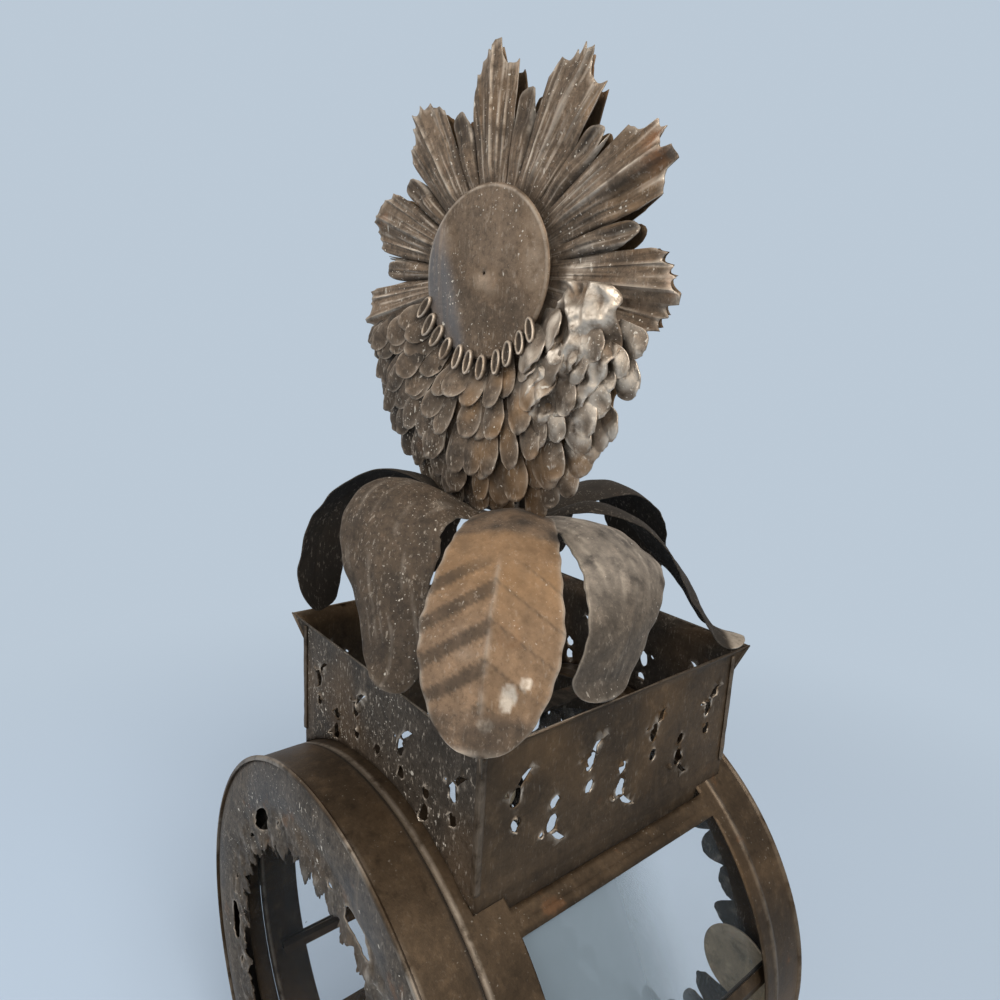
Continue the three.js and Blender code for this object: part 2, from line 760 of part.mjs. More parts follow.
// Blade along its path; sweep bends it sideways, twist turns it about its own middle line
function leafSurface({ angle, width, path, sweep = 0, twist = 0, peak = 0.58, tip = 0.86 }) {
  const points = [[leafStart, leafRoot], ...path];
  const curve = new THREE.CatmullRomCurve3(points.map(([r, z]) => new THREE.Vector3(r, 0, z)), false,
    'centripetal');
  const turn = radians(angle);
  return (u, v) => {
    const across = u * 2 - 1;
    const spot = curve.getPointAt(Math.min(v, 1));
    const along = curve.getTangentAt(Math.min(Math.max(v, 0.001), 0.999));
    const half = Math.min(leafWidthAt(v, width, peak, tip), spot.x * narrow);
    const droop = half * 0.2 * across * across * (1 - 0.6 * v) - half * 0.07 * (1 - Math.abs(across));
    const wave = 1.6 * Math.sin(v * 19 + across * 2) * across * across * Math.min(1, v * 3);
    const lean = radians(twist) * smooth(0.1, 0.5, v);
    const lift = wave - droop + half * across * Math.sin(lean);
    const r = spot.x - along.z * lift;
    const z = spot.z + along.x * lift;
    const side = half * across * Math.cos(lean) + sweep * smooth(0.5, 1, v);
    return new THREE.Vector3(
      r * Math.cos(turn) - side * Math.sin(turn),
      r * Math.sin(turn) + side * Math.cos(turn),
      galleryBase + z,
    );
  };
}

for (const leaf of leaves) {
  add(leaf.name, thickSheet(leafSurface(leaf), 4, 9, thinSheet), leaf.look);
}

// Sun: local X across, local Y back, local Z up, with its rim in the plane Y = 0

const sunFrame = new THREE.Matrix4()
  .makeTranslation(sunForward * Math.sin(radians(sunTurn)), -sunForward * Math.cos(radians(sunTurn)), sunZ)
  .multiply(new THREE.Matrix4().makeRotationZ(radians(sunTurn)))
  .multiply(new THREE.Matrix4().makeRotationY(-radians(sunLean)));

function polar(angle, radius, forward) {
  return new THREE.Vector3(radius * Math.sin(radians(angle)), -forward, radius * Math.cos(radians(angle)));
}

// Height of the front shell's raised floor, its rays and its bowl, at a given radius
function bowlHeight(radius) {
  const swell = Math.sin(Math.PI * Math.min(Math.max((radius - discRadius) / 96, 0), 1));
  const fall = 1 - smooth(discRadius, 146, radius);
  return discHeight * (0.15 + 0.85 * fall) + 13 * swell;
}

// The bowl is narrower than it is tall: share of a full radius that is left at an angle
function bowlShare(angle, radius) {
  const outward = smooth(discRadius, bowlRadius, radius);
  return 1 - bowlSqueeze * outward * Math.sin(radians(angle)) ** 2;
}

function rayHeight(radius) {
  return discHeight * (1 - smooth(discRadius - 14, rayRadius + 30, radius));
}

// Edge of one barbed ray, clockwise from the hollow before it: angle from its middle, and radius
const rayEdge = [
  [-13.4, petalRadius - 3], [-11.3, rayHollow], [-9.2, rayRadius - 21], [-4.6, rayRadius - 6],
  [-3.2, rayRadius - 10.5], [0.4, rayRadius], [3.6, rayRadius - 9], [6.4, rayRadius - 5],
  [9.8, rayRadius - 16], [11.3, rayHollow + 1], [13.4, petalRadius - 3],
];

// The rays with a short petal between each pair, then the bowl's round edge
function sunOutline() {
  const stops = [];
  const first = -(rayPitch * (rayCount - 1)) / 2;
  for (let k = 0; k < rayCount; k += 1) {
    const centre = first + k * rayPitch;
    for (const [offset, radius] of rayEdge) {
      stops.push([centre + offset, radius]);
    }
    if (k < rayCount - 1) stops.push([centre + rayPitch / 2, petalRadius]);
  }
  const bowlSteps = 14;
  const from = rayEdge[rayEdge.length - 1][0] - first + 3;
  for (let i = 0; i < bowlSteps; i += 1) {
    const angle = from + ((360 - 2 * from) * i) / (bowlSteps - 1);
    stops.push([angle, bowlRadius * bowlShare(angle, bowlRadius)]);
  }
  return stops;
}

const stops = sunOutline();

// Shell out to the sun's outline, with rings at the given parts of the way
function sunShell(rise, scale, rings) {
  const at = (u) => {
    const place = (((u % 1) + 1) % 1) * stops.length;
    const i = Math.floor(place) % stops.length;
    const part = place - Math.floor(place);
    const [a0, r0] = stops[i];
    const [a1, r1] = i + 1 < stops.length ? stops[i + 1] : [stops[0][0] + 360, stops[0][1]];
    return [a0 + (a1 - a0) * part, r0 + (r1 - r0) * part];
  };
  return thickSheet((u, v) => {
    const [angle, edge] = at(u);
    const ring = Math.min(Math.floor(v * (rings.length - 1)), rings.length - 2);
    const part = v * (rings.length - 1) - ring;
    const radius = (rings[ring] + (rings[ring + 1] - rings[ring]) * part) * edge * scale;
    return polar(angle, radius, rise(angle, radius, edge));
  }, stops.length, rings.length - 1, thinSheet, true);
}

function inBowl(angle) {
  const off = Math.abs(((angle + 180) % 360 + 360) % 360 - 180);
  return smooth(bowlStart - 9, bowlStart + 3, off);
}

function frontRise(angle, radius) {
  const flute = 2.4 * Math.cos(radians((angle * 360) / (rayPitch / 3)));
  const onRay = smooth(discRadius, discRadius + 22, radius) * (1 - inBowl(angle));
  const floor = inBowl(angle) * bowlHeight(radius) + (1 - inBowl(angle)) * rayHeight(radius);
  const inside = radius < discRadius - 2 ? discHeight : floor;
  return inside + 3.2 + flute * onRay;
}

const domeDepth = sunForward - sunSocket - fit - thinSheet / 2;

function backRise(angle, radius) {
  const t = Math.min(radius / rayRadius, 1);
  return -1.2 - (domeDepth - 1.2) * Math.pow(Math.cos((t * Math.PI) / 2), 1.4);
}

add('sun_front', sunShell(frontRise, 1, [0.36, 0.68, 1]).applyMatrix4(sunFrame), tinWarm);
add('sun_back', sunShell(backRise, 0.97, [0, 0.6, 1]).applyMatrix4(sunFrame), tinBrown);

// Closed socket on the back of the sun that drops over the top of the stem
const socketLow = stemTop - socketDepth;
add('sun_socket', turnedUpright([
  [stemRadius + fit, socketLow], [sunSocket, socketLow], [sunSocket, stemTop + fit + sheet],
  [0, stemTop + fit + sheet], [0, stemTop + fit], [stemRadius + fit, stemTop + fit],
  [stemRadius + fit, socketLow],
], 12), tinBrown);

// Rows of scales over the bowl; an inner row lies over the root of the next one out

function scaleRow(row) {
  const inner = discRadius + 2 + row * scalePitch;
  const outer = Math.min(inner + scaleLength, 145);
  const spread = 64 + row * 3;
  const middle = (inner + outer) / 2;
  const count = Math.round((radians(spread * 2) * middle) / scaleWidth);
  const place = (u, v) => {
    const angle = scaleMiddle + (u * 2 - 1) * spread;
    const across = ((u * count) % 1) * 2 - 1;
    const tip = outer - 8 * across * across;
    const reach = inner + (tip - inner) * v;
    const radius = reach * bowlShare(angle, reach);
    const dome = 2.6 * (1 - across * across) * smooth(0.25, 0.75, v);
    const height = bowlHeight(radius) + 7 + 3.4 * v + dome;
    return polar(angle, radius, height);
  };
  return thickSheet(place, count * 3, 2, thinSheet);
}

for (let row = 0; row < scaleRows; row += 1) {
  add(`scale_row_${row + 1}`, scaleRow(row).applyMatrix4(sunFrame), row < 2 ? tinGrey : tinBright);
}

// Disc with a raised border and a row of small tabs curled forward from its lower edge

const discFront = discHeight + 10.6;
const discPlate = new THREE.LatheGeometry([
  [0, 0], [discRadius, 0], [discRadius + 1.5, 1.4], [discRadius, 3], [discRadius - 2.4, 2.6],
  [discRadius - 3, 1.2], [0, 1.2],
].map(([r, h]) => new THREE.Vector2(r, h)), 26).rotateX(Math.PI).translate(0, -discFront, 0);

function curledTab(angle) {
  const points = [];
  const turns = 3;
  for (const radius of [tabCurl + 0.45, tabCurl - 0.45]) {
    for (let i = 0; i <= turns; i += 1) {
      const k = radius > tabCurl ? i : turns - i;
      const bend = radians(-90 + (230 * k) / turns);
      points.push([discRadius + tabReach + radius * Math.cos(bend), tabCurl + 1 + radius * Math.sin(bend)]);
    }
  }
  points.push([discRadius - 1, 1.45], [discRadius - 1, 0.55]);
  const strip = new THREE.ExtrudeGeometry(outline(points), { depth: tabWidth, bevelEnabled: false });
  strip.translate(0, 0, -tabWidth / 2);
  const toRadial = new THREE.Matrix4().set(0, 0, 1, 0, 0, -1, 0, -discFront, 1, 0, 0, 0, 0, 0, 0, 1);
  return strip.applyMatrix4(toRadial).rotateY(radians(angle));
}

let disc = solid(discPlate);
for (let i = 0; i < tabCount; i += 1) {
  disc = disc.add(solid(curledTab(tabMiddle + (i - (tabCount - 1) / 2) * 13)));
}
add('sun_disc', geometryOf(disc).applyMatrix4(sunFrame), tinBrown);

// Candle tray, socket, drip pan and the two reflectors inside the drum

const trayZ = drumZ - trayDrop;
const trayHalf = Math.sqrt(drumBore ** 2 - trayDrop ** 2) - fit * 2;
add('candle_tray', block(-trayHalf, trayHalf, drumFront + 4, drumBack - 16, trayZ, trayZ + sheet), tinBrown);
const socketZ = trayZ + sheet + fit;
const panZ = socketZ + 10;
add('candle_socket', turnedUpright([
  [0, socketZ], [18, socketZ], [18, socketZ + 1.2], [socketRadius, socketZ + 3],
  [socketRadius, socketZ + socketHeight], [socketRadius - 1.2, socketZ + socketHeight],
  [socketRadius - 1.2, socketZ + 6], [0, socketZ + 6],
], 14), tinBright);
add('drip_pan', turnedUpright([
  [socketRadius + fit, panZ], [dripRadius - 5, panZ], [dripRadius, panZ + 5],
  [dripRadius, panZ + 6.4], [dripRadius - 1.4, panZ + 6], [dripRadius - 5.6, panZ + 1.2],
  [socketRadius + fit, panZ + 1.2], [socketRadius + fit, panZ],
], 16), tinBright);

for (const [name, side] of [['reflector_right', 1], ['reflector_left', -1]]) {
  const centreZ = drumZ + reflectorRise;
  const points = ellipse(0, 0, reflectorRadius * 2, reflectorRadius * 2, 0, 20);
  const plate = uprightPlate(outline(points), 0, sheet);
  const dish = solid(plate.translate(reflectorX * side, reflectorY, centreZ));
  const strapEnd = drumBore - 1.5;
  const inEnd = reflectorX + reflectorRadius - 4;
  const strap = block(Math.min(inEnd * side, strapEnd * side), Math.max(inEnd * side, strapEnd * side),
    reflectorY, reflectorY + sheet, centreZ - 7, centreZ + 7);
  add(name, dish.add(solid(strap)), tinBright);
}

// Foot: four walls cut to the drum's curve, flared at the floor, on a flat plate

const footHigh = drumZ - Math.sqrt(drumRadius ** 2 - (footWidth / 2) ** 2) + 8;
const footLow = footPlate + fit;
const footProfile = [
  [footFlare, footLow],
  [footFlare, footLow + sheet],
  [1.5, footLow + 6],
  [0, footLow + 12],
  [0, footHigh],
  [-sheet, footHigh],
  [-sheet, footLow + 11],
  [0, footLow + 4.6],
  [footFlare - 2, footLow],
];
function footWall(length, distance, turn) {
  return solid(mitredWall(footProfile, length / 2, distance, 0).rotateZ(turn));
}
const footRing = joined(
  footWall(footWidth, footDepth / 2, 0), footWall(footDepth, footWidth / 2, quarter),
  footWall(footWidth, footDepth / 2, 2 * quarter), footWall(footDepth, footWidth / 2, 3 * quarter),
);
add('foot_walls', footRing.subtract(drumSolid), tinBrown);
const footX = footWidth / 2 + footFlare + 1;
const footY = footDepth / 2 + footFlare + 1;
add('foot_plate', block(-footX, footX, -footY, footY, 0, footPlate), tinBrown);

export default group;
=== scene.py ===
"""Looks of a round tin lantern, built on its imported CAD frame.

Sizes in the code are millimetres unless a property says otherwise; make_piece turns them into
metres. Angles round the drum run from the top towards +X.
"""

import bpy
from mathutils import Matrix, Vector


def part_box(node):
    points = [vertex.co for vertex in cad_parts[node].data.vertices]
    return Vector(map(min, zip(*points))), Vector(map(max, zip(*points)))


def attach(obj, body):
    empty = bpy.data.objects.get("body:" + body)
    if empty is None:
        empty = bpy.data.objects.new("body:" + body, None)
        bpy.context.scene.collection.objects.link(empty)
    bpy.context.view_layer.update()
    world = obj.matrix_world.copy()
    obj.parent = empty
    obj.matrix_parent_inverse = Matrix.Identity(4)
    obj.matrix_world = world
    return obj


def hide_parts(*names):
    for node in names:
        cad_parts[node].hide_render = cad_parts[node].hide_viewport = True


bl_info = {
    "name": "Tin Lantern",
    "version": (1, 0, 0),
    "blender": (4, 5, 0),
    "location": "View3D > Sidebar > Lantern",
    "description": "Builds the aged tin lantern round its CAD frame",
    "category": "Object",
}

import math

import bmesh
import bpy
import numpy as np
from bpy.props import (
    FloatProperty,
    FloatVectorProperty,
    IntProperty,
    PointerProperty,
)
from mathutils import Matrix, Vector, noise
from mathutils.geometry import delaunay_2d_cdt

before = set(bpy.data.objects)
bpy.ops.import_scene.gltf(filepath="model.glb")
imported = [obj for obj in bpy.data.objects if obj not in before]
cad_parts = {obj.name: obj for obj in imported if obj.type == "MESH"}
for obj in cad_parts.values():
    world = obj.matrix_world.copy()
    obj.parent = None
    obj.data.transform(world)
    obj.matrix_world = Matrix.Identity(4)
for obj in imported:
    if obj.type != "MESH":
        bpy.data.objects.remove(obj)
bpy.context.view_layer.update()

MM = 0.001


# Sizes and colours that a user would change


def size_property(name, description, default):
    return FloatProperty(name=name, description=f"{description} in mm", default=default)


def colour_property(name, description, default):
    return FloatVectorProperty(
        name=name, description=description, subtype="COLOR", size=3, default=default
    )


class LanternDrumSizes(bpy.types.PropertyGroup):
    radius: size_property("Drum radius", "Outside radius of the drum", 188.0)
    centre: size_property("Drum centre", "Height of the drum's axis", 222.0)
    front: size_property("Drum front", "Y of the joint between door and drum", -131.0)
    back: size_property("Drum back", "Y of the back edge", 139.0)
    door_front: size_property("Door front", "Y of the door's front edge", -168.6)
    window_front: size_property("Window front", "Y where the windows start", -97.0)
    window_back: size_property("Window back", "Y where the windows end", 91.0)
    mouth: size_property("Mouth radius", "Radius where the cut fringes start", 128.0)
    wall: size_property("Sheet", "Thickness of the sheets", 1.1)


class LanternGallerySizes(bpy.types.PropertyGroup):
    width: size_property("Width", "Gallery width along X", 220.0)
    depth: size_property("Depth", "Gallery depth along Y", 240.0)
    base: size_property("Base", "Height of its lower edge", 364.0)
    wall_height: size_property("Wall height", "Height up to the rim", 111.0)
    rim: size_property("Rim", "Slant length of the flared rim", 11.3)
    motifs: IntProperty(name="Motifs", description="Punched motifs on each wall", default=7)


class LanternCrownSizes(bpy.types.PropertyGroup):
    leaf_root: size_property("Leaf root", "Height of the leaf roots over the gallery's base", 208.0)
    leaf_wall: size_property("Leaf sheet", "Thickness", 0.8)
    sun_height: size_property("Sun height", "Height of the sun's middle", 735.0)
    sun_forward: size_property("Sun forward", "Sun's rim in front of the stem", 42.0)
    disc_radius: size_property("Disc radius", "Radius of the sun's disc", 52.0)
    scale_seed: IntProperty(name="Scale seed", description="Seed of the scales' spread", default=7)


class LanternColours(bpy.types.PropertyGroup):
    tin_brown: colour_property("Brown tin", "Aged tin of drum and gallery", (0.1, 0.066, 0.038))
    tin_grey: colour_property("Grey tin", "Weathered tin of the front faces", (0.15, 0.12, 0.092))
    tin_sun: colour_property("Sun tin", "Pale brown tin of the sun", (0.2, 0.142, 0.096))
    tin_leaf: colour_property("Leaf tin", "Warm tin of the front right leaf", (0.22, 0.148, 0.095))
    # Also the colour of painted highlights, laid on by the wear and highlight mark.
    tin_worn_and_highlight: colour_property("Worn tin", "Bare bright tin on high spots", (0.62, 0.53, 0.43))
    tin_pale: colour_property("Pale tin", "Clean tin of the reflectors", (0.33, 0.265, 0.17))
    rust: colour_property("Rust", "Orange stain", (0.33, 0.13, 0.04))
    warm: colour_property("Warm stain", "Tarnish of an orange brown", (0.4, 0.225, 0.095))
    cool: colour_property("Cool sheen", "Grey blue sheen on clean folds", (0.15, 0.155, 0.165))
    # Also the colour of painted shade, laid on by the soot and shade mark.
    soot: colour_property("Soot", "Soot and dirt in the hollows", (0.012, 0.009, 0.006))
    dust: colour_property("Paint specks", "Pale specks and splashes", (0.68, 0.62, 0.53))
    iron: colour_property("Iron", "Dark iron of hinge, hook and stem", (0.075, 0.062, 0.05))
    glass: colour_property("Glass", "Tint of the panes", (0.21, 0.265, 0.31))
    floor: colour_property("Floor", "Plain pale floor", (0.49, 0.6, 0.74))
    backdrop: colour_property("Backdrop", "Plain pale surroundings", (0.5, 0.585, 0.675))


# Node graphs


class Graph:
    """Adds nodes to a tree; an input that is a socket is linked, any other is set."""

    def __init__(self, tree):
        self.tree = tree

    def node(self, kind, inputs=(), **settings):
        made = self.tree.nodes.new(kind)
        for name, value in settings.items():
            setattr(made, name, value)
        for key, value in dict(inputs).items():
            self.feed(made.inputs[key], value)
        return made

    def feed(self, socket, value):
        if isinstance(value, bpy.types.NodeSocket):
            self.tree.links.new(value, socket)
        else:
            socket.default_value = value

    def math(self, operation, a, b=0.0):
        return self.node("ShaderNodeMath", {0: a, 1: b}, operation=operation).outputs[0]

    def times(self, a, b):
        return self.math("MULTIPLY", a, b)

    def plus(self, a, b):
        return self.math("ADD", a, b)

    def most(self, a, b):
        return self.math("MAXIMUM", a, b)

    def step(self, value, low, high):
        made = self.node(
            "ShaderNodeMapRange", {"Value": value, "From Min": low, "From Max": high},
            interpolation_type="SMOOTHSTEP",
        )
        return made.outputs["Result"]

    def mix(self, factor, a, b):
        made = self.node("ShaderNodeMix", {0: factor, 6: a, 7: b}, data_type="RGBA")
        return made.outputs[2]

    def blend(self, factor, a, b):
        made = self.node("ShaderNodeMix", {0: factor, 2: a, 3: b}, data_type="FLOAT")
        return made.outputs[0]

    def grain(self, vector, scale, detail=4.0, rough=0.5):
        made = self.node(
            "ShaderNodeTexNoise",
            {"Vector": vector, "Scale": scale, "Detail": detail, "Roughness": rough},
        )
        return made.outputs["Fac"]

    def stretched(self, vector, scale):
        made = self.node("ShaderNodeMapping", {"Vector": vector, "Scale": scale})
        return made.outputs["Vector"]

    def mark(self, name):
        """A mesh attribute of weathering and of painted light and shade, from 0 to 1."""
        return self.node("ShaderNodeAttribute", attribute_name=name).outputs["Fac"]

    def place(self):
        return self.node("ShaderNodeTexCoord").outputs["Object"]

    def bump(self, height, strength, distance):
        made = self.node(
            "ShaderNodeBump", {"Strength": strength, "Distance": distance, "Height": height}
        )
        return made.outputs[0]

    def surface(self, inputs):
        shader = self.node("ShaderNodeBsdfPrincipled", inputs)
        self.node("ShaderNodeOutputMaterial", {"Surface": shader.outputs[0]})

    def specks(self, where, scale, size, share):
        """Uneven specks of many sizes: cells of the given scale, of which a share carry a speck."""
        bend = self.node("ShaderNodeTexNoise",
                         {"Vector": where, "Scale": scale * 1.7, "Detail": 2.0})
        bent = self.node(
            "ShaderNodeVectorMath",
            {0: bend.outputs["Color"], 1: (0.9 / scale,) * 3, 2: where}, operation="MULTIPLY_ADD",
        )
        cells = self.node("ShaderNodeTexVoronoi", {"Vector": bent.outputs[0], "Scale": scale})
        pick = self.node("ShaderNodeSeparateColor", {"Color": cells.outputs["Color"]})
        reach = self.times(self.blend(pick.outputs["Green"], 0.3, 1.0), size)
        spot = self.step(cells.outputs["Distance"], reach, self.times(reach, 0.6))
        return self.times(spot, self.step(pick.outputs["Red"], 1.0 - share, 1.0 - share + 0.02))


# Finishes


FINISHES = {}


def rgba(colour, level=1.0):
    return tuple(min(c * level, 1.0) for c in colour) + (1.0,)


def new_material(name):
    """The graph of a new, empty material, which is kept under its name in FINISHES."""
    material = bpy.data.materials.new(name)
    material.use_nodes = True
    material.node_tree.nodes.clear()
    FINISHES[name] = material
    return Graph(material.node_tree)


def aged_tin(name, base, specks=0.3, rust=0.15, crust=0.3, streaks=0.4, gloss=0.5, metal=0.75,
             flecks=0.25):
    """Old tinplate: patches, runs, specks, rust, worn high spots and soot in the hollows, with
    painted highlights and painted shade laid on by the same marks.
    """
    colours = bpy.context.scene.lantern_colours
    g = new_material(name)
    where = g.place()
    broad = g.grain(where, 16.0, 5.0, 0.55)
    mottle = g.grain(where, 85.0, 8.0, 0.62)
    fine = g.grain(where, 520.0, 4.0, 0.6)
    grit = g.grain(where, 300.0, 7.0, 0.72)
    rusting = g.grain(where, 34.0, 7.0, 0.65)
    runs = g.grain(g.stretched(where, (90.0, 90.0, 7.0)), 1.0, 5.0, 0.6)
    scratches = g.grain(g.stretched(where, (700.0, 700.0, 40.0)), 1.0, 2.0, 0.5)
    dashes = g.grain(g.stretched(where, (560.0, 560.0, 190.0)), 1.0, 3.0, 0.6)
    gritty = min(0.35 + crust, 1.0)

    rusted = g.most(g.times(g.step(rusting, 0.62 - 0.1 * rust, 0.72), min(rust * 2.2, 0.8)),
                    g.times(g.mark("rust"), g.step(mottle, 0.36, 0.56)))
    # The wear mark carries real wear and also painted highlights on crests, rims and lit sides.
    worn_and_lit = g.times(g.mark("wear"), g.step(mottle, 0.3, 0.56))
    # The soot mark carries real soot and also painted shade in grooves, creases and under overlaps.
    soot = g.mark("soot")
    cluster = g.step(g.grain(where, 22.0, 3.0), 0.42, 0.6)
    small = g.specks(where, 480.0, 0.34, min(0.14 + specks * 0.4, 0.6))
    large = g.specks(where, 130.0, 0.2, specks * 0.3)
    long = g.specks(g.stretched(where, (260.0, 260.0, 80.0)), 1.0, 0.26, specks * 0.45)
    spots = g.most(g.most(g.times(small, cluster), large), g.times(long, cluster))
    spots = g.times(spots, min(specks * 2.2, 0.85))
    dashes = g.times(g.step(dashes, 0.57, 0.66), g.times(g.step(mottle, 0.38, 0.6), flecks))

    colour = g.mix(g.step(broad, 0.34, 0.66), rgba(base, 0.7), rgba(base, 1.12))
    for share, layer in (
        (g.times(g.step(mottle, 0.5, 0.72), 0.55), rgba(base, 1.75)),
        (g.times(g.step(mottle, 0.46, 0.3), 0.6), rgba(base, 0.42)),
        (g.times(g.step(grit, 0.5, 0.38), 0.6 * gritty), rgba(base, 0.34)),
        (g.times(g.step(grit, 0.55, 0.68), 0.55 * gritty), rgba(base, 2.1)),
        (g.times(g.mark("cool"), g.blend(mottle, 0.7, 1.0)), rgba(colours.cool)),
        (g.times(g.step(runs, 0.56, 0.74), streaks), rgba(base, 2.1)),
        (rusted, rgba(colours.rust)),
        (g.times(g.mark("warm"), g.blend(mottle, 0.5, 1.0)), rgba(colours.warm)),
        (worn_and_lit, rgba(colours.tin_worn_and_highlight)),
        (g.times(soot, 0.85), rgba(colours.soot)),
        (spots, rgba(colours.dust)),
        (dashes, rgba(colours.tin_worn_and_highlight, 0.75)),
    ):
        colour = g.mix(share, colour, layer)

    dull = g.most(spots, g.most(rusted, soot))
    rough = g.blend(mottle, 0.78 - 0.42 * gloss, 0.98 - 0.42 * gloss)
    rough = g.blend(dull, g.blend(worn_and_lit, rough, 0.36), 0.88)
    height = g.times(mottle, 0.35 + 1.6 * crust)
    for share, layer in ((0.12 + 0.35 * crust, fine), (0.12, scratches), (0.15 + 0.8 * crust, grit),
                         (1.3, broad), (0.5, g.plus(spots, dashes))):
        height = g.plus(height, g.times(layer, share))
    g.surface({"Base Color": colour, "Metallic": g.blend(dull, metal, 0.08), "Roughness": rough,
               "Normal": g.bump(height, 0.55, 0.0009)})


def dark_iron(name):
    """Forged iron with pits and a little rust."""
    colours = bpy.context.scene.lantern_colours
    g = new_material(name)
    where = g.place()
    mottle = g.grain(where, 120.0, 8.0, 0.65)
    pits = g.grain(where, 700.0, 3.0, 0.6)
    colour = g.mix(g.step(mottle, 0.38, 0.66), rgba(colours.iron, 0.6), rgba(colours.iron, 1.6))
    rust = g.times(g.step(g.grain(where, 60.0, 6.0, 0.6), 0.55, 0.68), 0.6)
    height = g.plus(mottle, g.times(pits, 0.5))
    g.surface({"Base Color": g.mix(rust, colour, rgba(colours.rust, 0.7)), "Metallic": 0.8,
               "Roughness": g.blend(mottle, 0.42, 0.7), "Normal": g.bump(height, 0.5, 0.0005)})


def dusty_glass(name, near, far, glint):
    """Clear sheet glass under an even film, thick (near) by the door and thin (far) at the back."""
    g = new_material(name)
    where = g.place()
    along = g.node("ShaderNodeSeparateXYZ", {0: where}).outputs["Y"]
    film = g.blend(g.step(along, -0.04, 0.04), near, far)
    cloud = g.blend(g.grain(where, 9.0, 4.0, 0.6), 0.8, 1.2)
    drops = g.specks(where, 120.0, 0.16, 0.08)
    alpha = g.most(g.times(film, cloud), g.times(drops, 0.4))
    g.surface({"Base Color": rgba(bpy.context.scene.lantern_colours.glass), "IOR": 1.5,
               "Roughness": g.blend(drops, 0.04, 0.5), "Alpha": alpha, "Specular IOR Level": glint})


def paint(names, finish):
    """Gives CAD nodes that show as they are their finish."""
    for name in names:
        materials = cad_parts[name].data.materials
        materials.clear()
        materials.append(FINISHES[finish])


# Formulas


def grain_at(points, size, seed=0.0):
    """Smooth noise from about -1 to 1 at each point; size is the distance over which it changes."""
    points = np.asarray(points, float)
    shift = Vector((seed * 7.3, seed * 3.1, seed * 5.7))
    values = [noise.noise(Vector(p) / size + shift) for p in points.reshape(-1, 3)]
    return np.array(values).reshape(points.shape[:-1])


def smooth_step(low, high, value):
    t = np.clip((np.asarray(value, float) - low) / (high - low), 0, 1)
    return t * t * (3 - 2 * t)


def bell(value, width):
    return np.exp(-((value / width) ** 2))


def fade(value, width):
    return np.exp(-np.abs(value) / width)


def around(radius, angle):
    """X and Z of a point at a radius and an angle in degrees, from the top towards +X."""
    return radius * np.sin(np.radians(angle)), radius * np.cos(np.radians(angle))


def upright(box):
    """Lowest and highest Z of a CAD box in mm."""
    low, high = box
    return low.z * 1000, high.z * 1000


# Meshes


def sheet_faces(columns, rows, closed=False, start=0):
    """Quads of a grid stored row by row; a closed grid joins its last column to its first."""
    faces = []
    for row in range(start, start + (rows - 1) * columns, columns):
        for i in range(columns if closed else columns - 1):
            k = (i + 1) % columns
            faces.append((row + i, row + k, row + columns + k, row + columns + i))
    return faces


def capped_faces(columns, rows):
    """Faces of a closed grid that is stored after the middle point of its first ring."""
    fan = [(0, 1 + (i + 1) % columns, 1 + i) for i in range(columns)]
    return fan + sheet_faces(columns, rows, closed=True, start=1)


def make_piece(name, points, faces, finish, body, nodes, slot, marks=None, wall=0.0, offset=0.0,
               sharp=35.0):
    """A shown piece from millimetre points, riding on a CAD body and standing for CAD nodes."""
    points = np.asarray(points, float)
    mesh = bpy.data.meshes.new(name)
    mesh.from_pydata((points.reshape(-1, 3) * MM).tolist(), [], [tuple(map(int, f)) for f in faces])
    mesh.validate()
    for key, values in (marks or {}).items():
        values = np.broadcast_to(np.asarray(values, np.float32), points.shape[:-1])
        layer = mesh.attributes.new(key, "FLOAT", "POINT")
        layer.data.foreach_set("value", np.clip(values, 0.0, 1.0).reshape(-1))
    mesh.polygons.foreach_set("use_smooth", [True] * len(mesh.polygons))
    mesh.set_sharp_from_angle(angle=math.radians(sharp))
    mesh.materials.append(FINISHES[finish])
    piece = bpy.data.objects.new(name, mesh)
    bpy.context.scene.collection.objects.link(piece)
    if wall:
        solid = piece.modifiers.new("wall", "SOLIDIFY")
        solid.thickness = wall * MM
        solid.offset = offset
        solid.use_even_offset = False
    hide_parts(*nodes)
    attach(piece, body)
    return piece


def turned_piece(name, profile, sides, finish, node, slot, closed=True, merge=1e-5, marks=None):
    """A lantern piece turned about the stem's axis, from (radius, height) corners."""
    points = [(radius * math.cos(a), radius * math.sin(a), height) for radius, height in profile
              for a in np.linspace(0, 2 * math.pi, sides, endpoint=False)]
    faces = sheet_faces(sides, len(profile), closed=True)
    if closed:
        last = (len(profile) - 1) * sides
        faces += [(last + i, last + (i + 1) % sides, (i + 1) % sides, i) for i in range(sides)]
    heights = np.array(points)[:, 2]
    marks = {key: mark(heights) for key, mark in (marks or {}).items()}
    piece = make_piece(name, points, faces, finish, "lantern", [node], slot, marks)
    body = bmesh.new()
    body.from_mesh(piece.data)
    bmesh.ops.remove_doubles(body, verts=body.verts, dist=merge)
    bmesh.ops.recalc_face_normals(body, faces=body.faces)
    body.to_mesh(piece.data)
    body.free()


def inside(points, loop):
    """Which points lie inside a closed outline."""
    loop = np.asarray(loop, float)
    x, y = points[:, 0][:, None], points[:, 1][:, None]
    x0, y0 = loop[:, 0][None], loop[:, 1][None]
    x1, y1 = np.roll(loop[:, 0], -1)[None], np.roll(loop[:, 1], -1)[None]
    crosses = (y0 > y) != (y1 > y)
    with np.errstate(divide="ignore", invalid="ignore"):
        at = x0 + (y - y0) * (x1 - x0) / (y1 - y0)
    return (np.sum(crosses & (x < at), axis=1) % 2).astype(bool)


def distance_to(points, loop):
    """Distance from each point to the nearest side of an outline."""
    loop = np.asarray(loop, float)
    best = np.full(len(points), 1e9)
    for a, b in zip(loop, np.roll(loop, -1, axis=0)):
        side = b - a
        t = np.clip(((points - a) @ side) / max(side @ side, 1e-12), 0, 1)
        best = np.minimum(best, np.hypot(*(points - a - t[:, None] * side).T))
    return best


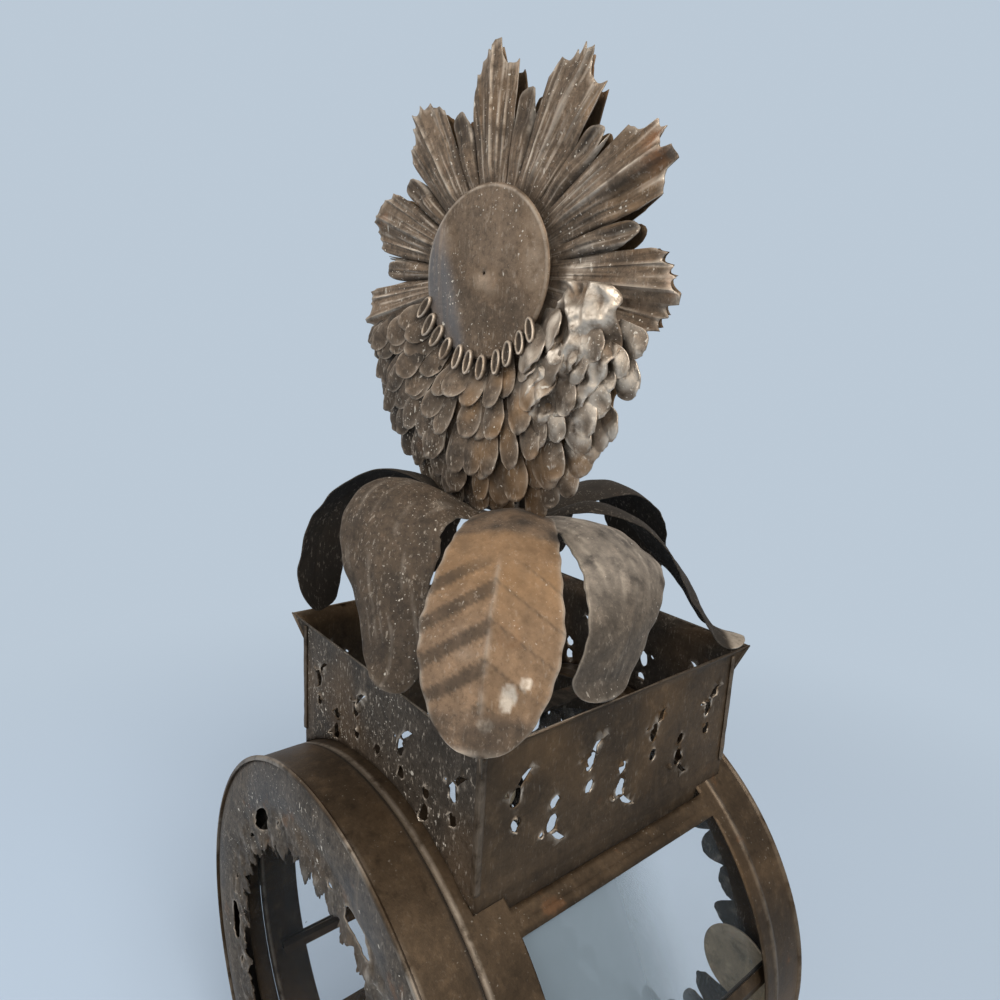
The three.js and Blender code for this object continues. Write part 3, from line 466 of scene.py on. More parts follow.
def punched_sheet(outer, holes, pitch, lips=(0.7, 1.6)):
    """Flat sheet with holes as 2D points and triangles, and each point's distance to a hole."""
    outer = np.asarray(outer, float)
    holes = [np.asarray(hole, float) for hole in holes]
    low, high = outer.min(0), outer.max(0)
    xs = np.arange(low[0] + pitch / 2, high[0], pitch)
    ys = np.arange(low[1] + pitch / 2, high[1], pitch)
    grid = np.array([(x + (pitch / 2 if j % 2 else 0), y) for j, y in enumerate(ys) for x in xs])
    for hole in holes:
        middle = hole.mean(0)
        reach = np.hypot(*(hole - middle).T)
        rings = [middle + (hole - middle) * ((reach + lip) / reach)[:, None] for lip in lips]
        grid = grid[np.hypot(*(grid - middle).T) > 0.1]
        near = np.hypot(*(grid - middle).T) < reach.max() + 2 * pitch
        drop = np.zeros(len(grid), bool)
        close = distance_to(grid[near], hole) < lips[-1] + pitch * 0.35
        drop[near] = inside(grid[near], hole) | close
        grid = np.vstack([grid[~drop], *rings])
    keep = inside(grid, outer) & (distance_to(grid, outer) > 0.35 * pitch)
    for hole in holes:
        keep &= ~inside(grid, hole)

    points, sides = [], []
    for loop in (outer, *holes):
        start, count = len(points), len(loop)
        points += [Vector(p) for p in loop]
        sides += [(start + i, start + (i + 1) % count) for i in range(count)]
    points += [Vector(p) for p in grid[keep]]
    made = delaunay_2d_cdt(points, sides, [], 0, 1e-5)
    flat = np.array([tuple(v) for v in made[0]])
    triangles = np.array([tuple(t) for t in made[2] if len(t) == 3])
    middles = flat[triangles].mean(axis=1)
    good = inside(middles, outer)
    for hole in holes:
        good &= ~inside(middles, hole)
    flat, triangles = used_only(flat, triangles[good])
    gap = np.full(len(flat), 99.0)
    for hole in holes:
        near = np.hypot(*(flat - hole.mean(0)).T) < 30
        gap[near] = np.minimum(gap[near], distance_to(flat[near], hole))
    return flat, triangles, gap


def used_only(points, faces):
    """Points that some face uses, and the faces renumbered to them."""
    used = np.unique(faces)
    place = np.full(len(points), -1)
    place[used] = np.arange(len(used))
    return points[used], place[faces]


def blob(cx, cy, width, height, turn=0.0, count=20, rough=0.0, seed=0):
    """Closed outline of an oval, a little uneven when rough is given."""
    phase = np.random.default_rng(seed).uniform(0, 6.28, 3)
    points = []
    for a in np.linspace(0, 2 * math.pi, count, endpoint=False):
        r = 1 + rough * (0.6 * math.sin(2 * a + phase[0]) + 0.4 * math.sin(3 * a + phase[1])
                         + 0.25 * math.sin(5 * a + phase[2]))
        x, y = width / 2 * r * math.cos(a), height / 2 * r * math.sin(a)
        points.append((cx + x * math.cos(turn) - y * math.sin(turn),
                       cy + x * math.sin(turn) + y * math.cos(turn)))
    return points


# Drum and door


HALF_SHEET = 0.6  # from the outside of a CAD sheet to its middle
DOOR_GAP = 0.6  # between the middles of the door's rim and the drum's front edge
WINDOW = (42.5, 137.5)  # degrees from the top, on both sides
CHIMNEY = 37.5
RAIL = 40.35  # folded line between chimney and window
BACK_CREASE = 105.0  # Y of the bead in front of the back band


class LANTERN_OT_drum(bpy.types.Operator):
    """Rolled drum skin with its bands, windows and chimney opening, and the door's rim"""

    bl_idname = "lantern.drum"
    bl_label = "Drum"

    def execute(self, context):
        size = context.scene.lantern_drum
        self.skin(size)
        self.door_rim(size)
        return {"FINISHED"}

    def skin(self, size):
        back = size.back
        edges = [side * a for side in (1, -1) for a in (CHIMNEY, *WINDOW)]
        rails = [side * (RAIL + a) for side in (1, -1) for a in (-0.35, 0, 0.35)]
        angles = np.unique(np.round(np.concatenate([np.arange(-180, 180, 1.25), edges, rails]), 4))
        ys = np.unique(np.concatenate([
            [size.front, size.front + 0.5, size.front + 1.2, size.front + 2.5],
            np.arange(size.front + 5, size.window_front, 4), [size.window_front],
            np.arange(size.window_front + 8, size.window_back - 4, 9.0), [size.window_back],
            [BACK_CREASE + d for d in (-10, -6, -3.5, -2.5, -1.5, -0.8, 0, 0.8, 1.5, 2.5, 3.5)],
            np.arange(back - 27, back - 5, 4), [back - 4, back - 3, back - 2, back - 1, back],
        ]))
        a, y = np.meshgrid(np.radians(angles), ys)
        degrees = np.degrees(a)
        glazed = (y > size.window_front) * (y < size.window_back)
        r = size.radius - HALF_SHEET + bell(y - BACK_CREASE, 1.6)
        bead = smooth_step(back - 4.5, back - 2, y) * (1 - smooth_step(back - 1, back + 0.2, y))
        r = r + 1.5 * bead
        r = r - 0.5 * (1 - smooth_step(size.front, size.front + 1.6, y))
        r = r - 0.45 * bell(np.abs(degrees) - RAIL, 0.22) * glazed
        even = np.stack([size.radius * np.sin(a), y, size.radius * np.cos(a)], -1)
        r = r + 0.5 * grain_at(even, 62, 1)
        points = np.stack([r * np.sin(a), y, size.centre + r * np.cos(a)], -1).reshape(-1, 3)

        columns = len(angles)
        faces = []
        for face in sheet_faces(columns, len(ys), closed=True):
            off = abs(angles[face[0] % columns] + 0.01)
            depth = ys[face[0] // columns] + 0.01
            cut = WINDOW[0] < off < WINDOW[1] or off < CHIMNEY
            if not (cut and size.window_front < depth < size.window_back):
                faces.append(face)
        points, faces = used_only(points, np.array(faces))
        y = points[:, 1]
        edge = fade(y - back, 2.0) + 0.5 * bell(y - BACK_CREASE, 2.0)
        edge = edge + 1.2 * bell(y - size.front - 2.5, 1.2)
        patch = smooth_step(0.1, 0.6, grain_at(points, 70, 3))
        marks = {"wear": 0.35 * edge, "soot": 0.6 * fade(y - size.front, 1.2), "warm": 0.16 * patch}
        make_piece("drum_band", points, faces, "tin_drum", "lantern", ["drum_skin"], "tin_brown",
                   marks, wall=size.wall)

    def door_rim(self, size):
        sides = 288
        depth = size.front - DOOR_GAP - size.door_front
        profile = [(-HALF_SHEET, depth)]
        profile += [(-HALF_SHEET, t) for t in np.linspace(depth - 2, 6, 9)]
        for t in np.linspace(0, 1, 9):
            bend = math.pi * (0.15 + 1.7 * t)
            profile.append((0.35 + 1.55 * math.sin(bend - math.pi * 0.32),
                            1.9 - 1.7 * math.cos(bend / 2)))
        points = []
        for out, step in profile:
            r = size.radius + out
            for a in np.radians(np.linspace(-180, 180, sides, endpoint=False)):
                points.append((r * math.sin(a), size.door_front + step,
                               size.centre + r * math.cos(a)))
        points = np.array(points)
        lump = grain_at(points * np.array([1, 0.2, 1]), 58, 4)
        radial = points[:, [0, 2]] - np.array([0, size.centre])
        points[:, [0, 2]] += radial / np.hypot(*radial.T)[:, None] * (0.4 * lump)[:, None]
        y = points[:, 1] - size.door_front
        marks = {"wear": 0.5 * fade(y - 0.6, 1.6) * smooth_step(-0.1, 0.4, lump),
                 "soot": 0.9 * fade(y - depth, 1.2),
                 "warm": 0.16 * smooth_step(0.1, 0.6, grain_at(points, 66, 6))}
        make_piece("door_rim_band", points, sheet_faces(sides, len(profile), closed=True),
                   "tin_drum", "door", ["door_rim"], "tin_brown", marks, wall=size.wall)


# Face plates


# One leaf tip of the front fringe: share of the pitch and how far it reaches over the mouth's edge
LEAF_TIP = (
    (0.0, 4.0), (0.07, -1.0), (0.13, -5.0), (0.18, -3.5), (0.26, -9.5), (0.31, -7.0),
    (0.4, -14.0), (0.46, -17.0), (0.51, -14.0), (0.55, -15.5), (0.6, -9.5), (0.67, -11.0),
    (0.73, -5.0), (0.81, -6.5), (0.88, 0.0), (0.94, 0.5),
)
OVALS = 6
OVAL_RADIUS = 145.0


def leaf_fringe(radius, leaves, seed, deep, rough):
    """Inner edge of a face plate: leaf tips that lean one way, as (angle, radius) corners."""
    rng = np.random.default_rng(seed)
    corners = []
    for k in range(leaves):
        grow = deep * (1 + rng.uniform(-0.35, 0.35))
        skew = rng.uniform(-0.05, 0.05)
        for part, depth in LEAF_TIP:
            angle = (k + part + skew * math.sin(part * math.pi)) * 360 / leaves
            corners.append((angle, radius + depth * grow + rng.uniform(-rough, rough)))
    return corners


def lobed_fringe(radius, lobes, seed):
    """Inner edge of the back plate: rounded lobes in threes, as (angle, radius) corners."""
    rng = np.random.default_rng(seed)
    corners = []
    for k in range(lobes):
        depth = 20 - (k % 3) * 5 + rng.uniform(-2.5, 2.5)
        for part in np.linspace(0, 0.9, 10):
            swell = max(math.sin(math.pi * part), 0) ** 0.55
            corners.append(((k + part) * 360 / lobes, radius + 6 - depth * swell))
    return corners


def polar(corners, centre):
    """X and Z of (angle, radius) corners round the drum's axis."""
    return [(r * math.sin(math.radians(a)), centre + r * math.cos(math.radians(a)))
            for a, r in corners]


class LANTERN_OT_faces(bpy.types.Operator):
    """Front and back face plates with cut fringes, long ovals and beaten relief"""

    bl_idname = "lantern.faces"
    bl_label = "Face plates"

    def execute(self, context):
        size = context.scene.lantern_drum
        fringe = leaf_fringe(size.mouth, 42, 5, 0.55, 1.1)
        self.plate(size, "door_face", "door_plate", "door", size.door_front + 2.6, -1, 25, fringe,
                   "tin_face")
        fringe = lobed_fringe(size.mouth, 30, 8)
        self.plate(size, "back_face", "back_plate", "lantern", size.back - 2.6, 1, 5, fringe,
                   "tin_back")
        return {"FINISHED"}

    def holes(self, size, fringe, first):
        """The mouth, and ovals with three nicks beside each; first is the first oval's angle."""
        holes = [polar(fringe, size.centre)]
        rng = np.random.default_rng(21)
        for k in range(OVALS):
            angle = first + 360 / OVALS * k
            x, z = polar([(angle, OVAL_RADIUS)], size.centre)[0]
            holes.append(blob(x, z, 34, 15.5, -math.radians(angle), 26, 0.06, k))
            for extra, reach, turn in ((12.5, 142, 0.5), (16.5, 148, -0.6), (-14, 141, 0.2)):
                x, z = polar([(angle + extra, reach + rng.uniform(-2, 2))], size.centre)[0]
                holes.append(blob(x, z, 7.5, 3.2, turn - math.radians(angle), 10, 0.15, k + 40))
        return holes

    def plate(self, size, name, node, body, y, way, first, fringe, finish):
        """A plate at a Y whose relief rises forward (way -1) or backward (way 1)."""
        outer = polar([(a, size.radius - 1.6) for a in np.arange(0, 360, 1.5)], size.centre)
        flat, faces, gap = punched_sheet(outer, self.holes(size, fringe, first), 2.8, (0.8, 2.0))
        local = flat - np.array([0, size.centre])
        reach = np.hypot(*local.T)
        angle = np.degrees(np.arctan2(local[:, 0], local[:, 1]))
        spread = np.column_stack([flat, np.zeros(len(flat))])
        relief = smooth_step(158, 148, reach)
        leaf = np.cos(np.radians(angle * 24 + reach * 1.8))
        lump = grain_at(spread, 9, 2)
        small = grain_at(spread, 3.6, 5)
        ridged = 1 - 2.2 * np.abs(grain_at(spread, 5, 15))
        tip = smooth_step(30, 2, reach - (size.mouth - 24))
        height = 2.4 * np.sin(math.pi * np.clip((reach - 152) / 35, 0, 1))
        height = height + relief * (0.7 * leaf + 1.2 * lump + 0.7 * small + 1.3 * ridged)
        height = height + 0.9 * fade(gap, 1.2) * (0.6 + 0.8 * grain_at(spread, 6, 9))
        height = np.minimum(height + relief * tip * 2.2 * lump, 2.3 if way < 0 else 2.6)
        hollow = smooth_step(0.1, 0.8, -0.6 * lump - 0.3 * leaf - 0.7 * ridged)
        marks = {
            "wear": 0.5 * fade(gap, 1.0) + 0.45 * relief * smooth_step(0.2, 0.8, lump),
            "soot": 0.75 * relief * hollow,
            "warm": 0.12 * relief * smooth_step(-0.1, 0.5, grain_at(spread, 40, 8)),
            "cool": 0.3 * (1 - relief) * smooth_step(-0.3, 0.3, grain_at(spread, 60, 18)),
        }
        points = np.column_stack([flat[:, 0], y + way * height, flat[:, 1]])
        make_piece(name, points, faces if way < 0 else faces[:, ::-1], finish, body, [node],
                   "tin_grey", marks, wall=size.wall * 0.8, sharp=60)


# Glass and glazing bars


class LANTERN_OT_glazing(bpy.types.Operator):
    """Glass of the faces and windows, the folded bars and the inner rings"""

    bl_idname = "lantern.glazing"
    bl_label = "Glazing"

    def execute(self, context):
        nodes = list(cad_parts)
        paint([n for n in nodes if n.startswith("pane_right")], "glass_hazy")
        paint([n for n in nodes if n.startswith("pane_left")], "glass")
        paint([n for n in nodes if n.startswith("bar_")], "tin_drum")
        paint(("door_glass", "back_glass"), "glass")
        paint(("door_glass_ring", "back_glass_ring"), "tin_dark")
        return {"FINISHED"}


# Gallery


RIM_SLOPE = 0.707  # the rim flares at 45 degrees
MOTIF_PITCH = 0.13  # share of the wall's length


def motif_holes(centre, upright, seed):
    """One punched motif: a large and a small oval, a bent stem slit and a nick."""
    rng = np.random.default_rng(seed)
    big, small = (76.0, 58.5) if upright else (46.0, 60.0)
    way = 1 if upright else -1
    shift = rng.uniform(-0.8, 0.8, 4)
    tilt = -0.2 + rng.uniform(-0.12, 0.12)
    stem = [(centre + 0.8, big + way * 8.2), (centre + 4.0, big + way * 12.6),
            (centre + 8.0, big + way * 15.2), (centre + 13.0, big + way * 15.6),
            (centre + 9.6, big + way * 12.4), (centre + 6.0, big + way * 9.0),
            (centre + 3.6, big + way * 5.4)]
    nick = blob(centre - 8.2 + shift[0], big + way * 4.2, 3.4, 1.8, 0.8, 8, 0.2, seed)
    large = blob(centre + shift[1] * 0.4, big, 8.0, 13.0, tilt, 22, 0.07, seed + 1)
    under = blob(centre + 0.8 + shift[2] * 0.4, small, 7.2, 9.2, tilt * 1.5, 18, 0.08, seed + 2)
    return large, under, stem, nick


class LANTERN_OT_gallery(bpy.types.Operator):
    """Pierced gallery walls with torn lips, moulding and flared rim, and the corner seams"""

    bl_idname = "lantern.gallery"
    bl_label = "Gallery"

    def execute(self, context):
        size = context.scene.lantern_gallery
        drum = context.scene.lantern_drum
        half_width, half_depth = size.width / 2, size.depth / 2
        self.wall(size, drum, 0, "front", half_width, half_depth, "tin_spotted", "tin_grey")
        self.wall(size, drum, 1, "right", half_depth, half_width, "tin_wall", "tin_brown")
        self.wall(size, drum, 2, "back", half_width, half_depth, "tin_back", "tin_grey")
        self.wall(size, drum, 3, "left", half_depth, half_width, "tin_wall", "tin_brown")
        for name, sx, sy in (("front_right", 1, -1), ("back_right", 1, 1), ("back_left", -1, 1),
                             ("front_left", -1, -1)):
            self.seam(name, half_width + 0.45, half_depth + 0.45, sx, sy)
        return {"FINISHED"}

    def outline(self, size, drum, name, half, far):
        """Wall as (along, up) corners; its lower edge follows the drum, and its ends are mitred."""
        def drum_top(s):
            return math.sqrt((drum.radius + 0.4) ** 2 - s * s) + drum.centre - size.base

        bottom = []
        for s in np.linspace(-half, half, 121):
            if name in ("front", "back"):
                low = max(drum_top(s), 0.0)
            else:
                along = s if name == "right" else -s
                over_band = along < drum.window_front or along > drum.window_back
                low = drum_top(far) if over_band else 0.2
            bottom.append((s, low))
        top = size.wall_height + size.rim
        levels = (25.0, 60.0, 95.0)
        right = [(half, z) for z in levels if z > bottom[-1][1]]
        left = [(-half, z) for z in levels[::-1] if z > bottom[0][1]]
        return bottom + right + [(half, top), (-half, top)] + left

    def motifs(self, size, drum, turn, name, half):
        """Holes of one wall, without those that would cut into its arch over the drum."""
        holes = []
        for k in range(size.motifs):
            centre = (k - (size.motifs - 1) / 2) * MOTIF_PITCH * (2 * half)
            for hole in motif_holes(centre, k % 2 == 0, 10 * turn + k):
                arch = 0
                if name in ("front", "back"):
                    arch = math.sqrt(drum.radius ** 2 - np.mean([p[0] for p in hole]) ** 2)
                    arch += drum.centre - size.base
                if min(p[1] for p in hole) >= arch + 1.2:
                    holes.append(hole)
        return holes

    def wall(self, size, drum, turn, name, half, far, finish, slot):
        """One wall, made as the front one and turned by quarter turns; far is its distance."""
        top = size.wall_height
        outer = self.outline(size, drum, name, half, far)
        flat, faces, gap = punched_sheet(outer, self.motifs(size, drum, turn, name, half), 3.6,
                                         (0.6, 1.4, 2.6))
        s, t = flat.T
        rim = np.maximum(t - top, 0) * RIM_SLOPE
        spread = np.column_stack([flat, np.full(len(flat), turn * 50.0)])
        inner = 1 - np.abs(s / half) ** 10
        lip = fade(gap, 0.9)
        out = rim + smooth_step(14.5, 16.5, t) * (1 - smooth_step(21.5, 23.5, t))
        out = out + inner * (0.9 * grain_at(spread, 46, 3) + 0.3 * grain_at(spread, 17, 4))
        out = out + lip * (0.3 + 2.6 * smooth_step(0.0, 0.5, grain_at(spread, 3.4, 6)))
        out = out + 0.5 * bell(gap - 2.2, 1.2) * grain_at(spread, 8, 7)
        rim_wave = smooth_step(top + 3, top + size.rim, t) * inner
        out = out + rim_wave * 0.5 * grain_at(spread, 22, 9)
        x, y = s * (half + rim) / half, -(far - HALF_SHEET + out)
        angle = turn * math.pi / 2
        points = np.column_stack([x * math.cos(angle) - y * math.sin(angle),
                                  x * math.sin(angle) + y * math.cos(angle),
                                  size.base + (np.minimum(t, top) + rim)])
        edge = smooth_step(top + 9, top + 11, t) * smooth_step(-0.2, 0.5, grain_at(spread, 15, 21))
        # Painted shade along the edges of the moulding and towards the bottom of the side walls.
        marks = {
            "wear": lip * smooth_step(-0.1, 0.45, grain_at(spread, 4.5, 11)) + 0.4 * edge,
            "soot": 0.5 * fade(t - 24, 0.8) + 0.4 * fade(t - 14.5, 0.8)
            + 0.35 * smooth_step(30, 0, t) * (name in ("right", "left")),
            "warm": 0.2 * smooth_step(0.0, 0.5, grain_at(spread, 60, 12)),
        }
        make_piece(f"gallery_{name}", points, faces, finish, "lantern", [f"gallery_wall_{name}"],
                   slot, marks, wall=1.0, sharp=50)

    def seam(self, name, x, y, sx, sy):
        """Folded strip over a corner, as high as its CAD node."""
        low, high = upright(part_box(f"gallery_seam_{name}"))
        section = ((-3.6, 0.1), (-2.4, 0.45), (-1.2, 0.55), (0.15, 0.6), (0.6, 0.15),
                   (0.55, -1.2), (0.45, -2.4), (0.1, -3.6))
        rows = 40
        points = []
        for z in np.linspace(low, high, rows):
            for dx, dy in section:
                wave = 0.25 * noise.noise(Vector((dx * 2, z / 9, sx + 2 * sy)))
                points.append(((x + dx + wave) * sx, (y + dy + wave) * sy, z))
        make_piece(f"seam_{name}", points, sheet_faces(len(section), rows), "tin_wall", "lantern",
                   [f"gallery_seam_{name}"], "tin_grey", {"wear": 0.12}, wall=0.7)


# Crown of leaves


# Name, direction in degrees or the corner it points at, half width, sideways sweep, twist, peak and
# tip of the width as shares of its length, finish, slot, and path as (distance, height over base)
LEAVES = (
    ("leaf_front_right", "front right", 39, 0, 0, 0.7, 0.7, "tin_leaf", "tin_warm",
     ((36, 217), (75, 226), (114, 220), (147, 196), (167, 163), (176, 138), (183, 123))),
    ("leaf_right", -2, 35, -34, 0, 0.58, 0.86, "tin_leaf_grey", "tin_grey",
     ((40, 214), (70, 213), (105, 194), (121, 169), (122, 150), (122, 135), (127, 127))),
    ("leaf_back_right", "back right", 30, 0, -14, 0.58, 0.86, "tin_leaf_dark", "tin_brown",
     ((49, 219), (84, 207), (108, 181), (126, 157), (136, 140), (144, 130), (154, 125.5),
      (168, 125.5))),
    ("leaf_back", 90, 35, 0, 0, 0.58, 0.86, "tin_leaf_dark", "tin_brown",
     ((50, 220), (90, 224), (118, 207), (132, 178), (133, 150), (135, 133), (142, 124))),
    ("leaf_back_left", "back left", 35, 0, 0, 0.58, 0.86, "tin_leaf_dark", "tin_brown",
     ((50, 219), (95, 225), (130, 210), (152, 182), (168, 150), (176, 135), (184, 125))),
    ("leaf_left", 180, 35, 0, 0, 0.58, 0.86, "tin_leaf_dark", "tin_brown",
     ((45, 217), (84, 222), (110, 205), (124, 172), (124, 150), (126, 133), (132, 124))),
    ("leaf_front_left", "front left", 35, 0, 32, 0.58, 0.86, "tin_leaf_dark", "tin_brown",
     ((50, 224), (93, 232), (120, 221), (138, 203), (149, 182), (153, 159), (152, 140),
      (149, 124))),
    ("leaf_front", -90, 38, 33, -24, 0.58, 0.86, "tin_leaf_brown", "tin_grey",
     ((48, 217), (84, 232), (110, 225), (125, 194), (128, 165), (130, 145), (134, 131),
      (140, 125))),
)


def smooth_path(corners, count):
    """Even points and directions along a centripetal curve through the corners."""
    def between(t, ta, tb, a, b):
        return (tb - t) / (tb - ta) * a + (t - ta) / (tb - ta) * b

    p = np.array(corners, float)
    p = np.vstack([2 * p[0] - p[1], p, 2 * p[-1] - p[-2]])
    dense = []
    for i in range(1, len(p) - 2):
        p0, p1, p2, p3 = p[i - 1:i + 3]
        t0 = 0.0
        t1 = t0 + np.linalg.norm(p1 - p0) ** 0.5
        t2 = t1 + np.linalg.norm(p2 - p1) ** 0.5
        t3 = t2 + np.linalg.norm(p3 - p2) ** 0.5
        for t in np.linspace(t1, t2, 40, endpoint=False):
            a1, a2 = between(t, t0, t1, p0, p1), between(t, t1, t2, p1, p2)
            a3 = between(t, t2, t3, p2, p3)
            dense.append(between(t, t1, t2, between(t, t0, t2, a1, a2), between(t, t1, t3, a2, a3)))
    dense.append(p[-2])
    dense = np.array(dense)
    length = np.concatenate([[0], np.cumsum(np.linalg.norm(np.diff(dense, axis=0), axis=1))])
    at = np.linspace(0, length[-1], count)
    even = np.column_stack([np.interp(at, length, dense[:, k]) for k in range(2)])
    way = np.gradient(even, axis=0)
    return even, way / np.linalg.norm(way, axis=1)[:, None], length[-1]


def shared_width(half, radius, room):
    """Half width that eases off where a leaf would meet its neighbour; room is width by radius."""
    ease = 4
    return -0.5 * np.log(np.exp(-2 * half / ease) + np.exp(-2 * radius * room / ease)) * ease


class LANTERN_OT_leaves(bpy.types.Operator):
    """Eight beaten leaves that rise from the stem and curl over the gallery's rim"""

    bl_idname = "lantern.leaves"
    bl_label = "Leaves"

    def execute(self, context):
        gallery = context.scene.lantern_gallery
        crown = context.scene.lantern_crown
        corner = math.degrees(math.atan2(gallery.depth, gallery.width))
        turns = {"front right": -corner, "back right": corner, "back left": 180 - corner,
                 "front left": 180 + corner}
        room = math.tan(math.radians(min(corner - 2, 90 - corner) / 2 - 0.75))
        for number, leaf in enumerate(LEAVES):
            turn = math.radians(turns.get(leaf[1], leaf[1]))
            self.leaf(crown, gallery.base, turn, room, number, *leaf)
        return {"FINISHED"}

    def leaf(self, crown, base, turn, room, number, name, _, most, sweep, twist, peak, tip, finish,
             slot, path):
        across, along = 41, 130
        spine, way, length = smooth_path([(12, crown.leaf_root), *path], along)
        v = np.linspace(0, 1, along)
        swell = np.minimum(1, 0.45 + 0.55 * (v / peak) ** 1.1)
        waist = 1 - 0.2 * smooth_step(peak, tip + 1e-6, v) * (tip > peak)
        end = np.where(v > tip, np.maximum(1 - ((v - tip) / (1.0005 - tip)) ** 2, 0) ** 0.45, 1)
        half = shared_width(most * swell * waist * end, spine[:, 0], room)[:, None]
        U, V = np.meshgrid(np.linspace(-1, 1, across), v)
        side = half * U
        flat = np.stack([side, V * length, np.full(side.shape, number * 90.0)], -1)
        lump = 0.7 * grain_at(flat, 30, 3) + 0.3 * grain_at(flat, 9, 4)
        lift = 1.9 * grain_at(flat, 24, 2) * U ** 2 + lump
        lift = lift - half * (0.2 * U ** 2 * (1 - 0.6 * V) - 0.07 * (1 - np.abs(U)))
        lean = math.radians(twist) * smooth_step(0.1, 0.5, V)
        if name == "leaf_front":
            side = side * (1 - 0.22 * smooth_step(0.5, 0.95, V))
        elif name == "leaf_front_left":
            side = side * (1 - 0.25 * smooth_step(0.3, 0.6, V))
        elif name == "leaf_back_right":
            lean = lean * (1 - 0.8 * smooth_step(0.45, 0.7, V))
        chevron = (V * length - 0.62 * np.abs(side)) / 21.0
        saw = chevron - np.floor(chevron)
        body = smooth_step(0.52, 0.59, V) * (1 - smooth_step(0.88, 0.93, V))
        if name == "leaf_front_right":
            vein = 1.7 * np.where(saw < 0.62, saw / 0.62, (1 - saw) / 0.38) - 0.8
            midrib = 1.5 * bell(side, 1.3) * body
        else:
            vein = 0.28 * np.sin(chevron * 2 * math.pi) * smooth_step(0.05, 0.3, np.abs(U))
            midrib = 0.5 * bell(side, 1.6) * body
        lift = lift + vein * body + midrib + side * np.sin(lean)
        r = spine[:, 0][:, None] - way[:, 1][:, None] * lift
        z = spine[:, 1][:, None] + way[:, 0][:, None] * lift
        side = side * (1 + 0.012 * np.sin(V * 90 + number) * np.abs(U) ** 8)
        over = side * np.cos(lean) + sweep * smooth_step(0.5, 1, V)
        points = np.stack([r * math.cos(turn) - over * math.sin(turn),
                           r * math.sin(turn) + over * math.cos(turn), base + z], -1)
        border = smooth_step(0.93, 1.0, np.abs(U)) + smooth_step(0.975, 1.0, V)
        worn_and_lit = 0.7 * border + 0.25 * smooth_step(0.3, 0.8, lump)
        patches = grain_at(flat, 14, 21)
        streaks = grain_at(flat * np.array([1, 0.12, 1]), 4, 22)
        if name == "leaf_front_right":
            marks = self.chevron_marks(U, V, worn_and_lit, saw, body, midrib, patches, streaks)
        elif name == "leaf_right":
            upper = smooth_step(0.75, 0.5, V)
            marks = {"soot": 0.5 * smooth_step(0.5, 0.8, V) + 0.2 * smooth_step(0, 0.5, -streaks),
                     "wear": worn_and_lit + (0.3 + 0.4 * smooth_step(0.0, 0.5, streaks)) * upper,
                     "cool": 0.3 * upper}
        elif name == "leaf_front":
            marks = {"soot": 0.45 + 0.3 * smooth_step(0, 0.5, -patches),
                     "wear": 0.35 * worn_and_lit + 0.3 * smooth_step(0.2, 0.6, streaks)}
        else:
            marks = {"soot": 0.9 - 0.15 * smooth_step(0.1, 0.6, -lump), "wear": 0.15 * worn_and_lit}
            if name == "leaf_back_right":
                marks["soot"] = marks["soot"] * (1 - smooth_step(0.9, 0.94, V))
                marks["wear"] = marks["wear"] + 0.7 * smooth_step(0.91, 0.95, V)
        make_piece(f"{name}_blade", points, sheet_faces(across, along), finish, "lantern", [name],
                   slot, marks, wall=crown.leaf_wall, sharp=55)

    def chevron_marks(self, U, V, worn_and_lit, saw, body, midrib, patches, streaks):
        """The bright leaf: dark crown and tip, slanted bands of painted shade on its left half,
        thin lines of painted shade on its right half, and pale drops.
        """
        # The bands and lines stand for the shaded facets of the embossed veins.
        band = smooth_step(0.5, 0.56, saw) * (1 - smooth_step(0.9, 0.97, saw)) * body
        line = bell(saw - 0.6, 0.035) * body
        left = smooth_step(0.02, -0.02, U)
        low = smooth_step(0.9, 0.93, V)
        crown = 1 - smooth_step(0.425, 0.465, V + 0.03 * patches)
        marks = {
            "soot": 0.74 * band * left + (0.16 + 0.5 * line) * (1 - left)
            + (0.6 + 0.75 * patches) * crown + 0.15 * streaks
            + 0.3 * smooth_step(0.0, 0.5, patches) * smooth_step(0.7, 0.4, V)
            + low * (0.62 - 0.45 * smooth_step(0.0, 0.4, patches)),
            "warm": 0.5 * smooth_step(0.425, 0.465, V) * (1 - smooth_step(0.5, 0.75, V))
            + (0.12 + 0.22 * (1 - left)) * body,
            "wear": worn_and_lit + 0.24 * midrib,
        }
        for u, v, width, height, inner, outer, share in (
            (0.38, 0.865, 0.13, 0.034, 0.8, 1.1, 1.3), (0.6, 0.83, 0.1, 0.016, 0.7, 1.1, 1.0),
            (0.1, 0.93, 0.16, 0.016, 0.5, 1.3, 0.6),
        ):
            drop = ((U - u) / width) ** 2 + ((V - v) / height) ** 2
            marks["wear"] = marks["wear"] + share * (1 - smooth_step(inner, outer, drop))
        return marks


# Sun


